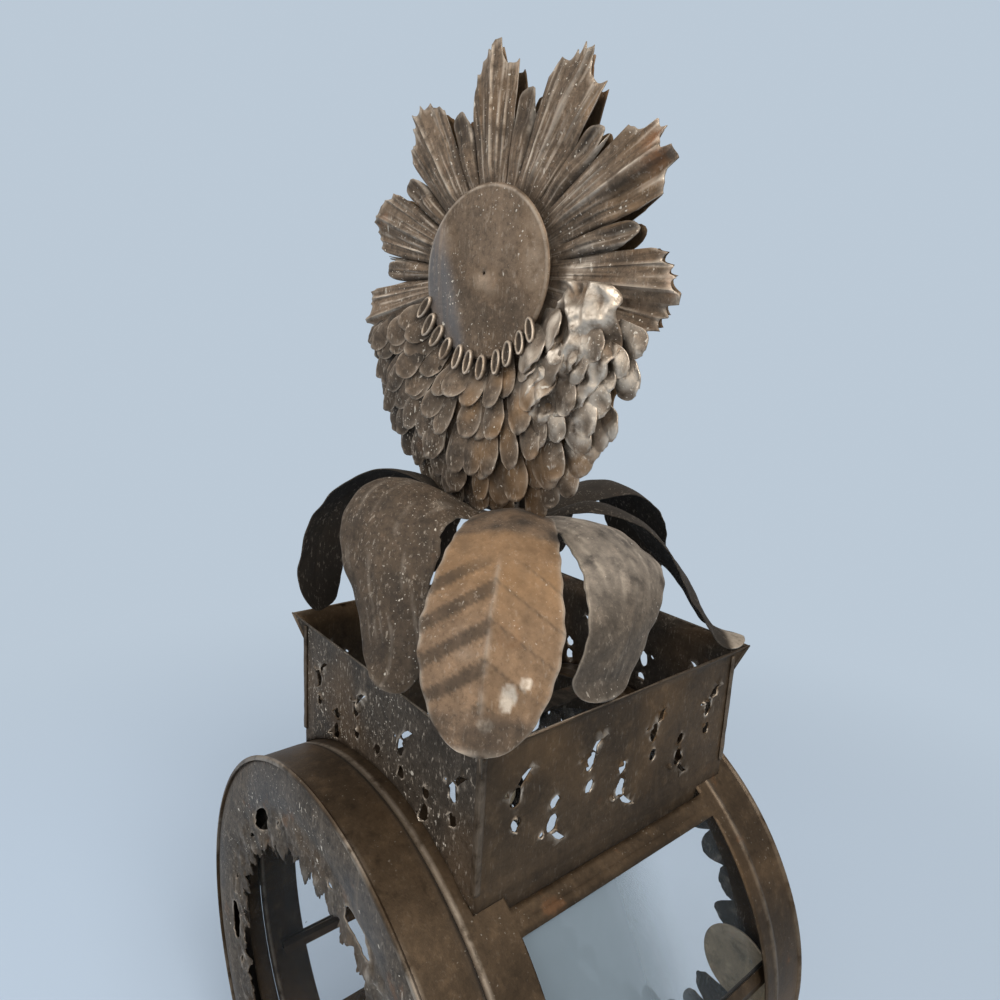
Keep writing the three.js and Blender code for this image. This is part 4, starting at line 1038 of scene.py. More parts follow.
# Tip of each ray: angle from the ray's middle and radius, going clockwise seen from the front
RAY_TIPS = (
    ((-9.6, 96), (-9.3, 108), (-8.5, 116), (-7, 120), (-6.5, 118), (-5, 124), (-3.5, 128),
     (-3, 125.5), (-1, 133), (0.6, 132), (1.5, 128), (3.5, 127), (5, 130), (7, 126.5),
     (9, 129.5), (9.8, 121), (10.2, 100)),
    ((-12.8, 96), (-12.4, 108), (-11.8, 115), (-10.5, 113.5), (-9.5, 118.5), (-8, 117),
     (-6.5, 120.5), (-4.5, 126), (-3.6, 124), (-2, 131), (0.5, 127.5), (3.5, 127), (6, 125),
     (8, 118), (9.5, 118.5), (10.5, 112), (11, 96)),
    ((-11.5, 96), (-11, 106), (-10.5, 113), (-8.5, 120.5), (-6.2, 119), (-4.6, 121.5),
     (-3.2, 128), (-1.8, 125), (-0.6, 133), (0.6, 129), (2.8, 134), (3.5, 128.5), (6, 129.5),
     (7, 124), (9, 122), (10.5, 117), (11.5, 96)),
    ((-10.8, 94), (-9.4, 105), (-8, 114), (-7, 122.5), (-6.2, 121.5), (-5, 128.6),
     (-3.4, 128.8), (-2, 134), (-1, 131.5), (0.6, 136), (2.6, 136.5), (3.4, 126.5), (6.2, 121),
     (8.6, 120.5), (9.9, 123), (10.3, 112), (10.7, 96)),
    ((-12, 96), (-11.6, 106), (-11.2, 113), (-9.4, 121), (-8.6, 124.5), (-6, 123.5),
     (-4.2, 130), (-3.2, 127.8), (-2, 135.2), (-1, 131.5), (1, 135.6), (1.8, 128), (3.8, 122),
     (6.5, 120.5), (9.2, 124.5), (9.8, 114), (11, 96)),
    ((-13, 98), (-12.8, 108), (-12.5, 117), (-10.6, 118.4), (-9, 120.5), (-6.9, 123),
     (-6.2, 133.5), (-4.6, 131.6), (-3, 135.5), (-2.2, 129.5), (0.6, 129), (1.6, 135.2),
     (4.4, 134.6), (5, 127), (7.6, 124), (10, 122), (11, 108), (12, 95)),
    ((-11, 96), (-10.7, 106), (-10.4, 117), (-8.8, 124.4), (-7, 121), (-5.6, 128.5), (-4, 126),
     (-3, 131.5), (-2, 128.5), (0.8, 135.4), (3, 135.2), (3.8, 128), (6, 131.6), (7.2, 126),
     (9.4, 129.4), (10.6, 122), (10.8, 106)),
)
RAY_PITCH = 33.0
TEETH_FROM = 116  # radius beyond which the edge between two corners is drawn out to a point
# Side of each petal between two rays: angle from the petal's middle and radius
PETAL_SIDE = ((5.0, 84), (4.4, 93), (3.7, 99), (2.7, 103.5), (1.3, 106.6), (0.0, 107.6))
# Where the rays end and the bowl begins, on both sides
BOWL_START = ((111.5, 101), (113, 108), (116, 110), (119, 101), (121, 108), (125, 113), (130, 119))
BOWL_FROM = 116  # angle from which the sheet is the bowl's, on both sides
BOWL_EDGE = 125.0
BOWL_SWELL = 13.0  # how far it stands out, half way across
BOWL_WIDTH = 96.0  # from the disc's edge outwards
SUN_WALL = 0.8


def sun_matrix(crown, turn=7.5, lean=4.0):
    """From the sun's own axes, X across, -Y forward and Z up, to the lantern's, in mm."""
    turn, lean = math.radians(turn), math.radians(lean)
    place = Matrix.Translation((crown.sun_forward * math.sin(turn),
                                -crown.sun_forward * math.cos(turn), crown.sun_height))
    return place @ Matrix.Rotation(turn, 4, "Z") @ Matrix.Rotation(-lean, 4, "Y")


def moved(points, matrix):
    m = np.array(matrix)
    return np.asarray(points, float) @ m[:3, :3].T + m[:3, 3]


def sun_edge(angles):
    """Outline radius of the rayed sheet at each angle, in degrees from the top."""
    stops = [(a, BOWL_EDGE) for a in range(134, 228, 4)]
    stops += [*BOWL_START, *((360 - a, r) for a, r in BOWL_START)]
    for k, tip in enumerate(RAY_TIPS):
        centre = (k - 3) * RAY_PITCH
        stops += [(centre + a, r) for a, r in tip]
        if k < len(RAY_TIPS) - 1:
            between = centre + RAY_PITCH / 2
            stops += [(between - a, r) for a, r in PETAL_SIDE]
            stops += [(between + a, r) for a, r in PETAL_SIDE[-2::-1]]
    stops.sort()
    a, r = np.array(stops + [(stops[0][0] + 360, stops[0][1])], float).T
    angles = np.mod(np.asarray(angles, float) - a[0], 360) + a[0]
    k = np.clip(np.searchsorted(a, angles, side="right") - 1, 0, len(a) - 2)
    part = (angles - a[k]) / np.maximum(a[k + 1] - a[k], 1e-9)
    low, high = np.minimum(r[k], r[k + 1]), np.maximum(r[k], r[k + 1])
    part = np.where(r[k + 1] >= r[k], part, 1 - part)
    return low + (high - low) * part ** np.where(high > TEETH_FROM, 2.2, 1.0)


def bowl_height(radius, disc):
    swell = np.sin(math.pi * np.clip((radius - disc) / BOWL_WIDTH, 0, 1))
    fall = 1 - smooth_step(disc, 146, radius)
    return 2 * (0.15 + 0.85 * fall) + BOWL_SWELL * swell


def bowl_share(angle, radius, disc):
    """The bowl is narrower than it is tall: share of a full radius that is left at an angle."""
    return 1 - 0.18 * smooth_step(disc, 132, radius) * np.sin(np.radians(angle)) ** 2


class LANTERN_OT_sun_sheets(bpy.types.Operator):
    """Front sheet of the sun, fluted into rays and petals, and its dished back sheet"""

    bl_idname = "lantern.sun_sheets"
    bl_label = "Sun sheets"

    def execute(self, context):
        crown = context.scene.lantern_crown
        angles = np.arange(-180, 180, 0.36)
        self.front(crown, angles)
        self.back(crown, angles)
        return {"FINISHED"}

    def front(self, crown, angles):
        disc = crown.disc_radius
        rings = np.concatenate([np.linspace(0.3, 0.62, 9), np.linspace(0.66, 1.0, 19)])
        A, S = np.meshgrid(angles, rings)
        R = S * sun_edge(angles)[None]
        R = R * np.where(np.abs(A) > BOWL_FROM, bowl_share(A, R, disc), 1)
        x, z = around(R, A)
        flat = np.stack([x, z, np.zeros(A.shape)], -1)
        lump = grain_at(flat, 26, 3)
        fine = grain_at(flat, 7, 5)
        upper = 1 - smooth_step(105, 114, np.abs(A))
        # Angle and distance from the middle of the nearest ray, and from that of the nearest petal
        phase = np.mod(A + RAY_PITCH / 2, RAY_PITCH) - RAY_PITCH / 2
        off = np.abs(phase)
        across = R * np.sin(np.radians(phase))
        petal_off = RAY_PITCH / 2 - off
        petal = petal_off * np.radians(R)
        top_ray = np.abs(A - RAY_PITCH) < 14
        torn_ray = np.abs(A - 2 * RAY_PITCH) < 14

        ridge = 3.2 * np.maximum(0, 1 - np.abs(across) / 11) + 1.3 * bell(across, 0.9)
        ridge = ridge + 1.3 * bell(off - 6.6, 0.4) * smooth_step(60, 84, R)
        inner = smooth_step(56, 70, R)
        ridge = ridge + 0.8 * bell(off - 3.4, 0.4) * inner * (1 - smooth_step(96, 112, R))
        groove = 2.8 * bell(off - 11.9, 0.8)
        dome = 3.4 * np.sqrt(np.maximum(0, 1 - (petal_off / 4.7) ** 2))
        cup = dome * smooth_step(54, 74, R) - 4.6 * bell(petal, 4.2) * smooth_step(80, 92, R)
        cup = cup + bell(petal, 0.8) * smooth_step(50, 60, R) * (1 - smooth_step(80, 88, R))
        flute = (ridge - groove + cup) * smooth_step(disc - 3, disc + 14, R)
        ray = 2 * (1 - smooth_step(disc - 14, 166, R)) + 2.6 + 0.85 * flute
        ray = ray + 3.0 * smooth_step(100, 136, R) * grain_at(flat, 34, 8)
        ray = ray + 1.1 * lump * smooth_step(60, 90, R) + 0.3 * fine
        bowl = bowl_height(R, disc) + 1.0 + 0.6 * lump
        rise = upper * ray + (1 - upper) * np.minimum(bowl, ray + 30)
        curl = smooth_step(84, 100, R) * torn_ray
        rise = rise + curl * (2.2 * bell(phase - 1.6, 1.4) - 3.5 * smooth_step(2.2, 4.5, phase))
        rise = np.where(R < disc, np.minimum(rise, 8.5), rise)
        points = np.stack([x, -np.maximum(rise, 0.4), z], -1)

        # Painted highlights along each ray's crest, on the thin ridge lines, on one rim of each
        # spoon and on the lumps of the right side; painted shade in the grooves, beside the ridges,
        # round the disc, in each spoon's hollow and along the torn seam.
        thin = bell(off - 6.6, 0.35) + 0.7 * bell(off - 3.4, 0.3) * (1 - smooth_step(90, 105, R))
        thin = thin * smooth_step(56, 66, R) * upper * smooth_step(-0.4, 0.3, lump)
        spoon = (petal_off < 5.2) * smooth_step(78, 88, R)
        streak = grain_at(np.stack([A * 1.6, R * 0.05, A * 0], -1), 1.4, 31)
        rusty = smooth_step(112, 132, R) * smooth_step(0.05, 0.5, grain_at(flat, 16, 12))
        right = smooth_step(48, 80, A) * (1 - smooth_step(130, 150, A))
        torn = smooth_step(2.5, 3.5, phase) * torn_ray
        torn = torn + smooth_step(5.5, 6.5, phase) * top_ray * smooth_step(100, 108, R)
        seam = smooth_step(84, 92, R) * torn_ray * bell(phase - 2.6, 0.5)
        marks = {
            "wear": 0.5 * smooth_step(0.965, 1.0, S) + 0.6 * bell(across, 1.0) * inner * upper
            + 0.6 * thin + 0.9 * spoon * bell(petal_off - 3.9, 0.6) * (phase < 0)
            + 0.4 * right * smooth_step(0.0, 0.6, lump)
            + 0.45 * smooth_step(0.2, 0.6, streak) * upper,
            "rust": 0.75 * rusty * upper * smooth_step(0, 30, A),
            "soot": 0.75 * bell(off - 11.9, 1.0) * upper * smooth_step(disc, 62, R)
            + 0.5 * fade(R - disc, 2.0)
            + 0.6 * spoon * smooth_step(3.4, 2.4, petal_off) * (0.35 + 0.65 * (phase > 0))
            + 0.45 * smooth_step(0.1, 0.5, -streak) * upper
            + 0.4 * bell(off - 8.2, 0.5) * upper * smooth_step(60, 80, R) + 0.6 * seam,
            "warm": 0.3 * smooth_step(0.0, 0.6, grain_at(flat, 44, 14))
            + 0.5 * smooth_step(84, 96, R) * torn * (0.5 + 0.5 * fine),
        }
        make_piece("sun_front_sheet", moved(points, sun_matrix(crown)),
                   sheet_faces(len(angles), len(rings), closed=True), "tin_sun", "lantern",
                   ["sun_front"], "tin_warm", marks, wall=SUN_WALL, sharp=60)

    def back(self, crown, angles):
        rings = np.linspace(0.08, 1.0, 22)
        depth = crown.sun_forward - 6.5 - 0.3 - 0.5  # clear of the socket on the stem
        r = rings[:, None] * (sun_edge(angles + 0.6) * 0.975)
        x, z = around(r, angles)
        y = 1.2 + (depth - 1.2) * np.cos(np.minimum(r / 134, 1) * math.pi / 2) ** 1.4
        points = np.vstack([(0.0, depth, 0.0), np.stack([x, y, z], -1).reshape(-1, 3)])
        reach = np.hypot(points[:, 0], points[:, 2])
        dents = 0.5 * np.abs(grain_at(points, 30, 2)) * smooth_step(20, 40, reach)
        points[:, 1] -= dents
        rusty = smooth_step(105, 130, reach) * smooth_step(0, 0.5, grain_at(points, 18, 4))
        marks = {"rust": 0.4 * rusty,
                 "warm": 0.35 * smooth_step(-0.3, 0.4, grain_at(points, 15, 14)),
                 "wear": 0.3 * smooth_step(122, 134, reach)}
        make_piece("sun_back_sheet", moved(points, sun_matrix(crown)),
                   capped_faces(len(angles), len(rings)), "tin_sun_back", "lantern", ["sun_back"],
                   "tin_brown", marks, wall=SUN_WALL, sharp=60)


def template(name, points, faces, tips):
    """An object to be repeated, whose tips (0 to 1) travel along as an attribute."""
    mesh = bpy.data.meshes.new(name)
    mesh.from_pydata(points, [], faces)
    layer = mesh.attributes.new("tip", "FLOAT", "POINT")
    layer.data.foreach_set("value", np.array(tips, np.float32))
    made = bpy.data.objects.new(name, mesh)
    bpy.context.scene.collection.objects.link(made)
    return made


def scale_template():
    """One scale, rooted at the origin, its length along -Z and its face towards -Y."""
    across, along = 11, 14
    points, tips = [], []
    for j in range(along):
        v = (j / (along - 1)) ** 0.85
        width = 0.5 + 0.5 * min(1.0, v / 0.6) ** 0.9
        if v > 0.62:
            width *= math.sqrt(max(1 - ((v - 0.62) / 0.39) ** 2, 0.0))
        for i in range(across):
            u = math.sin(math.pi / 2 * (-1 + 2 * i / (across - 1)))
            edge = max(abs(u) ** 6, max(v - 0.9, 0) * 10) * min(v * 2, 1)
            crown = 0.14 * (1 - u * u) * math.sin(math.pi * min(v * 0.85, 1)) + 0.05 * edge
            hook = 0.16 * max(v - 0.5, 0) ** 1.4
            points.append((0.5 * u * width, -(crown + hook), -v))
            tips.append(edge)
    return template("scale_template", points, sheet_faces(across, along), tips)


def tab_template():
    """One tab: a small hollow tongue with a raised thin rim, its tip lifted forward."""
    sides = 18
    rings = ((0.3, 1.1), (0.62, 1.2), (0.8, 2.2), (0.92, 3.3), (1.0, 3.1), (1.06, 1.6), (1.05, 0.4))
    points, tips = [(0.0, -3.2, -7.0)], [0.0]
    for share, rise in rings:
        for k in range(sides):
            a = 2 * math.pi * k / sides
            reach = 7.0 - 7.4 * share * math.cos(a)
            points.append((3.5 * share * math.sin(a), -(rise + 0.4 + 0.3 * reach), -reach))
            tips.append(1.0 if rise > 2.5 else 0.0)
    return template("tab_template", points, capped_faces(sides, len(rings)), tips)


# Inputs of the row's node tree: name, kind and the value it starts with
ROW_INPUTS = (
    ("Template", "Object", None), ("Material", "Material", None), ("Count", "Int", 12),
    ("Half spread", "Float", 70.0), ("Middle", "Float", 0.0), ("Radius", "Float", 60.0),
    ("Forward", "Float", 20.0), ("Tilt", "Float", 12.0), ("Width", "Float", 24.0),
    ("Length", "Float", 34.0), ("Uneven", "Float", 1.0), ("Right growth", "Float", 0.0),
    ("Spin share", "Float", 1.0), ("Seed", "Int", 1),
)


def row_tree():
    """Geometry nodes: a row of one template on an arc, each with its own small turn and size."""
    tree = bpy.data.node_groups.new("Row on an arc", "GeometryNodeTree")
    face = tree.interface
    face.new_socket("Geometry", in_out="OUTPUT", socket_type="NodeSocketGeometry")
    for name, kind, value in ROW_INPUTS:
        socket = face.new_socket(name, in_out="INPUT", socket_type=f"NodeSocket{kind}")
        if value is not None:
            socket.default_value = value
    g = Graph(tree)
    given = g.node("NodeGroupInput").outputs
    line = g.node("GeometryNodeMeshLine", {"Count": given["Count"]})
    index = g.node("GeometryNodeInputIndex").outputs[0]
    part = g.math("DIVIDE", index, g.math("SUBTRACT", given["Count"], 1.0))
    centred = g.math("SUBTRACT", g.times(part, 2.0), 1.0)

    def shake(extra, reach):
        made = g.node("FunctionNodeRandomValue", {"Seed": g.plus(given["Seed"], extra)})
        made.data_type = "FLOAT"
        g.feed(made.inputs[2], -reach)
        g.feed(made.inputs[3], reach)
        return g.times(made.outputs[1], given["Uneven"])

    angle = g.plus(g.times(centred, given["Half spread"]), shake(0.0, 2.0))
    angle = g.plus(angle, given["Middle"])
    turn = g.math("RADIANS", angle)
    reach = g.plus(given["Radius"], shake(11.0, 2.2))
    spot = g.node("ShaderNodeCombineXYZ", {
        "X": g.times(g.math("SINE", turn), reach),
        "Y": g.times(g.plus(given["Forward"], shake(23.0, 0.5)), -1.0),
        "Z": g.times(g.math("COSINE", turn), g.times(reach, -1.0)),
    })
    placed = g.node("GeometryNodeSetPosition", {"Geometry": line.outputs["Mesh"],
                                                "Position": spot.outputs[0]})
    tilt = g.math("RADIANS", g.plus(given["Tilt"], shake(31.0, 3.5)))
    spin = g.plus(g.times(turn, given["Spin share"]), g.math("RADIANS", shake(41.0, 6.0)))
    turned_by = g.node("ShaderNodeCombineXYZ", {"X": g.times(tilt, -1.0), "Y": g.times(spin, -1.0)})
    grow = g.plus(g.plus(1.0, shake(53.0, 0.12)),
                  g.times(g.step(angle, 18.0, 44.0), given["Right growth"]))
    wide = g.times(given["Width"], grow)
    long = g.times(given["Length"], g.plus(1.0, shake(61.0, 0.08)))
    scale = g.node("ShaderNodeCombineXYZ", {"X": wide, "Y": wide, "Z": long})
    shape = g.node("GeometryNodeObjectInfo", {"Object": given["Template"]})
    row = g.node("GeometryNodeInstanceOnPoints", {
        "Points": placed.outputs[0], "Instance": shape.outputs["Geometry"],
        "Rotation": turned_by.outputs[0], "Scale": scale.outputs[0],
    })
    whole = g.node("GeometryNodeRealizeInstances", {"Geometry": row.outputs[0]})
    painted = g.node("GeometryNodeSetMaterial", {"Geometry": whole.outputs[0],
                                                 "Material": given["Material"]})
    g.node("NodeGroupOutput", {0: painted.outputs[0]})
    return tree


def row_of(values):
    """Runs the row's tree on an empty mesh: points, faces and tip marks of the result."""
    tree = bpy.data.node_groups.get("Row on an arc") or row_tree()
    holder = bpy.data.objects.new("holder", bpy.data.meshes.new("holder"))
    bpy.context.scene.collection.objects.link(holder)
    modifier = holder.modifiers.new("nodes", "NODES")
    modifier.node_group = tree
    for item in tree.interface.items_tree:
        if item.item_type == "SOCKET" and item.in_out == "INPUT" and item.name in values:
            modifier[item.identifier] = values[item.name]
    bpy.context.view_layer.update()
    graph = bpy.context.evaluated_depsgraph_get()
    mesh = bpy.data.meshes.new_from_object(holder.evaluated_get(graph), depsgraph=graph)
    bpy.data.objects.remove(holder)
    points = np.zeros(len(mesh.vertices) * 3, np.float32)
    mesh.vertices.foreach_get("co", points)
    tips = np.zeros(len(mesh.vertices), np.float32)
    mesh.attributes["tip"].data.foreach_get("value", tips)
    faces = [tuple(p.vertices) for p in mesh.polygons]
    bpy.data.meshes.remove(mesh)
    return points.reshape(-1, 3).astype(float), faces, tips


# Rows of scales from the disc outwards: length, tilt in degrees and share of the spin that they
# take from their place on the arc
SCALE_ROWS = ((34.0, 23.0, 0.95), (36.0, 14.0, 0.88), (37.0, 4.0, 0.8), (35.0, -6.0, 0.74),
              (26.0, -10.0, 0.7))
ROW_PITCH = 19
SCALE_PITCH = 14.5
SCALE_WIDTH = 18.5
FOLD_ROW = 2  # the row that carries the crumpled fold
FOLD = (99, 152)  # its ends, in degrees from the top


class LANTERN_OT_sun_scales(bpy.types.Operator):
    """Five rows of overlapping beaten scales over the lower part of the sun"""

    bl_idname = "lantern.sun_scales"
    bl_label = "Sun scales"

    def execute(self, context):
        crown = context.scene.lantern_crown
        scale = scale_template()
        for row, (length, tilt, spin) in enumerate(SCALE_ROWS):
            self.row(crown, scale, row, length, tilt, spin)
        bpy.data.objects.remove(scale)
        return {"FINISHED"}

    def row(self, crown, scale, row, length, tilt, spin):
        disc = crown.disc_radius
        inner = disc + 1 + ROW_PITCH * row
        spread = 64 + 1.8 * row
        finish = "tin_scale" if row > 1 else "tin_scale_inner"
        local, faces, tip = row_of({
            "Template": scale, "Material": FINISHES[finish], "Radius": inner, "Length": length,
            "Count": round(math.radians(2 * spread) * (inner + length / 2) / SCALE_PITCH) + 1,
            "Half spread": spread, "Middle": -9.0 + 1.6 * row, "Tilt": tilt, "Spin share": spin,
            "Forward": float(bowl_height(np.array(inner + 4.0), disc)) + 2.4,
            "Width": SCALE_WIDTH, "Uneven": 1.6, "Right growth": 0.45 if row < 2 else 0.2,
            "Seed": crown.scale_seed + row * 5,
        })
        reach = np.hypot(local[:, 0], local[:, 2])
        angle = np.degrees(np.arctan2(local[:, 0], -local[:, 2]))
        right = smooth_step(18, 46, angle)
        lump = grain_at(local, 7, row)
        dents = grain_at(local, 13, row + 9)
        crease = 1 - 2.4 * np.abs(grain_at(local, 19, row + 19))
        local[:, 1] -= 0.9 * lump + right * (2.4 * dents + 2.2 * crease)
        local[:, [0, 2]] *= bowl_share(angle, reach, disc)[:, None]
        # Painted highlights on the crests of the crumpled right part and on the scales' raised
        # rims; painted shade at the root of each row under the row before it, in dents and over the
        # left side.
        bright = 0.15 + 0.85 * smooth_step(0.0, 0.7, 0.6 * crease + dents)
        hollow = (0.35 * smooth_step(0.1, -0.5, dents) + 0.3 * (1 - smooth_step(-30, 4, angle))
                  + 0.3 * smooth_step(100, 130, reach) * (1 - right))
        stained = smooth_step(-14, 4, angle) * (1 - smooth_step(30, 50, angle))
        marks = {
            "wear": right * bright + 0.45 * tip + 0.12 * smooth_step(0.1, 0.5, lump),
            "soot": 0.85 * (1 - smooth_step(2.0, 17.0, reach - inner)) * (1 - 0.4 * right)
            + hollow * (1 - tip),
            "warm": 0.75 * stained * smooth_step(-0.3, 0.4, grain_at(local, 22, 40)),
        }
        if row == FOLD_ROW:
            local, faces, marks = self.with_fold(local, faces, marks, disc)
        make_piece(f"scales_{row + 1}", moved(local, sun_matrix(crown)), faces, finish, "lantern",
                   [f"scale_row_{row + 1}"], "tin_grey" if row < 2 else "tin_bright", marks,
                   wall=SUN_WALL, sharp=70)

    def with_fold(self, local, faces, marks, disc):
        """Adds the crumpled fold of bright sheet that lies over the scales on the right."""
        across, along = 60, 34
        first, last = FOLD
        angle, part = np.meshgrid(np.linspace(first, last, across), np.linspace(0, 1, along))
        ragged = grain_at(np.stack([angle, 0 * angle, part * 3], -1), 6, 51)
        inner = 66 + 16 * smooth_step(108, 150, angle) + 5 * ragged
        outer = 103 + 14 * np.sin(np.radians((angle - first) * 3.2)) + 6 * ragged
        reach = inner + (outer - inner) * part
        x, z = around(reach, angle)
        flat = np.stack([x, z, 0 * reach], -1)
        crease = 1 - 2.6 * np.abs(grain_at(flat, 21, 52))
        crease = crease + 0.45 * (1 - 2.6 * np.abs(grain_at(flat, 9, 54)))
        dents = grain_at(flat, 12, 53)
        middle, half = (first + last) / 2, (last - first) / 2
        edge = np.abs(part * 2 - 1) ** 4 + np.abs((angle - middle) / half) ** 6
        height = bowl_height(reach, disc) + 6.0 + 4.2 * crease + 3.0 * dents - 2.5 * edge
        faces = faces + sheet_faces(across, along, start=len(local))
        # Painted highlights on the crests of the crumples and painted shade in their hollows.
        more = {"wear": 0.2 + 0.8 * smooth_step(0.2, 0.9, crease + 0.5 * dents),
                "soot": 0.85 * smooth_step(0.35, -0.5, crease + 0.6 * dents),
                "warm": 0.3 * smooth_step(0.0, 0.4, ragged)}
        marks = {key: np.append(mark, more[key]) for key, mark in marks.items()}
        return np.vstack([local, np.stack([x, -height, z], -1).reshape(-1, 3)]), faces, marks


class LANTERN_OT_sun_disc(bpy.types.Operator):
    """Disc of the sun with its raised border and the row of curled tabs under it"""

    bl_idname = "lantern.sun_disc"
    bl_label = "Sun disc"

    def execute(self, context):
        crown = context.scene.lantern_crown
        disc = crown.disc_radius
        radii = [1.1, 1.8, 3.0, *np.linspace(6, disc - 6, 13)]
        radii += [disc + step for step in (-4.4, -3.4, -2.6, -1.8, -1.0, -0.3, 0.5, 1.0)]
        sides = 180
        R, A = np.meshgrid(radii, np.linspace(0, 360, sides, endpoint=False), indexing="ij")
        x, z = around(R, A)
        lump = grain_at(np.stack([x, z, np.zeros(R.shape)], -1), 30, 7)
        crease = x * 0.97 + z * 0.22 + 27
        fold = smooth_step(5, -5, crease)
        height = 12.8 + 0.8 * lump - 1.5 * bell(R, 2.4) + 0.15 * bell(R - (disc - 0.8), 0.6)
        height = height - smooth_step(disc - 0.1, disc + 1, R)
        height = height + 1.6 * fold * smooth_step(disc, disc - 16, R)
        # Painted highlight along the border, stronger towards the top, and painted shade along the
        # crease.
        border = bell(R - (disc - 0.6), 0.7) * (0.3 + 0.7 * smooth_step(-40, 20, z))
        marks = {
            "wear": 0.4 * border + 0.2 * smooth_step(0.2, 0.6, lump),
            "soot": 0.9 * bell(R, 1.6) + 0.2 * bell(crease - 5, 3.0),
            "warm": 0.2 * smooth_step(0, 0.5, lump),
            "cool": 0.8 * fold,
        }
        tab = tab_template()
        tabs, tab_faces, tip = row_of({
            "Template": tab, "Material": FINISHES["tin_disc"], "Count": 11, "Half spread": 65.0,
            "Middle": -12.0, "Radius": disc - 2.5, "Forward": 12.4, "Tilt": 0.0, "Width": 0.88,
            "Length": 1.0, "Uneven": 0.7, "Spin share": 0.4, "Seed": crown.scale_seed + 3,
        })
        bpy.data.objects.remove(tab)
        # Painted highlight on each tab's raised rim and painted shade over the rest of it.
        more = {"wear": 0.7 * tip, "soot": 0.7 * (1 - tip), "warm": 0.2 * tip, "cool": 0 * tip}
        marks = {key: np.append(mark, more[key]) for key, mark in marks.items()}
        faces = sheet_faces(sides, len(radii), closed=True)
        faces += [tuple(v + R.size for v in f) for f in tab_faces]
        points = np.vstack([np.stack([x, -height, z], -1).reshape(-1, 3), tabs])
        make_piece("sun_face", moved(points, sun_matrix(crown)), faces, "tin_disc", "lantern",
                   ["sun_disc"], "tin_brown", marks, wall=SUN_WALL, sharp=60)
        return {"FINISHED"}


# Fittings, hardware and foot


REFLECTOR_PLACE = (148.0, 230.0)  # X and Z of the right one's middle
TRAY_DROP = 150.0  # from the drum's axis down to the tray's underside


class LANTERN_OT_fittings(bpy.types.Operator):
    """Candle socket, drip pan, tray and the two reflector discs"""

    bl_idname = "lantern.fittings"
    bl_label = "Candle fittings"

    def execute(self, context):
        drum = context.scene.lantern_drum
        tray = drum.centre - TRAY_DROP
        low = tray + 1.5
        profile = [(0.01, 0), (18, 0), (18.3, 0.6), (18, 1.2), (12.6, 2.0), (12, 3.4), (12, 12),
                   (12.15, 20), (12, 28.5), (12.7, 29.4), (12.2, 30), (11.2, 29.6), (10.8, 28),
                   (10.8, 6.4), (10.2, 6), (0.01, 6)]
        turned_piece("socket", [(r, low + z) for r, z in profile], 64, "tin_bright",
                     "candle_socket", "tin_bright", closed=False, merge=2e-5,
                     marks={"wear": lambda z: 0.4 * smooth_step(27, 30, z - low)})
        pan = low + 10
        profile = [(12.3, 0), (23.4, 0), (25.6, 1.2), (28.4, 4.6), (29, 5.8), (28.9, 6.5),
                   (28.0, 6.3), (27.2, 5.2), (24.8, 2.2), (23.0, 1.2), (12.3, 1.2)]
        turned_piece("pan", [(r, pan + z) for r, z in profile], 72, "tin_bright", "drip_pan",
                     "tin_bright", marks={"wear": lambda z: 0.5 * smooth_step(5, 6.4, z - pan)})
        for name, side in (("right", 1), ("left", -1)):
            self.reflector(name, side, drum.radius)
        paint(["candle_tray"], "tin_dark")
        return {"FINISHED"}

    def reflector(self, name, side, drum_radius):
        """A dished disc with a rolled border, and the strip that holds it to the drum."""
        low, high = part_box(f"reflector_{name}")
        y = (low.y + high.y) * 500
        x, z = REFLECTOR_PLACE[0] * side, REFLECTOR_PLACE[1]
        sides = 72
        radii = (6, 12, 18, 23, 26.5, 28.2, 29.2, 29.9)
        points = [(x, y + 2.4, z)]
        for r in radii:
            dish = 2.4 * (1 - (r / radii[-1]) ** 2) - 0.5 * math.exp(-((r - 29.2) / 0.5) ** 2)
            points += [(x + r * math.cos(a), y + dish, z + r * math.sin(a))
                       for a in np.linspace(0, 2 * math.pi, sides, endpoint=False)]
        faces = capped_faces(sides, len(radii))
        strip, steps = (-7, -5, 0, 5, 7), 8
        faces += sheet_faces(len(strip), steps, start=len(points))
        for far in np.linspace(x + 25 * side, (drum_radius - 2.8) * side, steps):
            points += [(far, y + 1.2 - (0.3 if abs(dz) == strip[-1] else 0), z + dz)
                       for dz in strip]
        lit = smooth_step(2, 26, np.array(points)[:, 2] - z)
        make_piece(f"reflector_{name}_disc", points, faces, "tin_pale", "lantern",
                   [f"reflector_{name}"], "tin_bright", {"wear": 0.04 + 0.22 * lit}, wall=0.9)


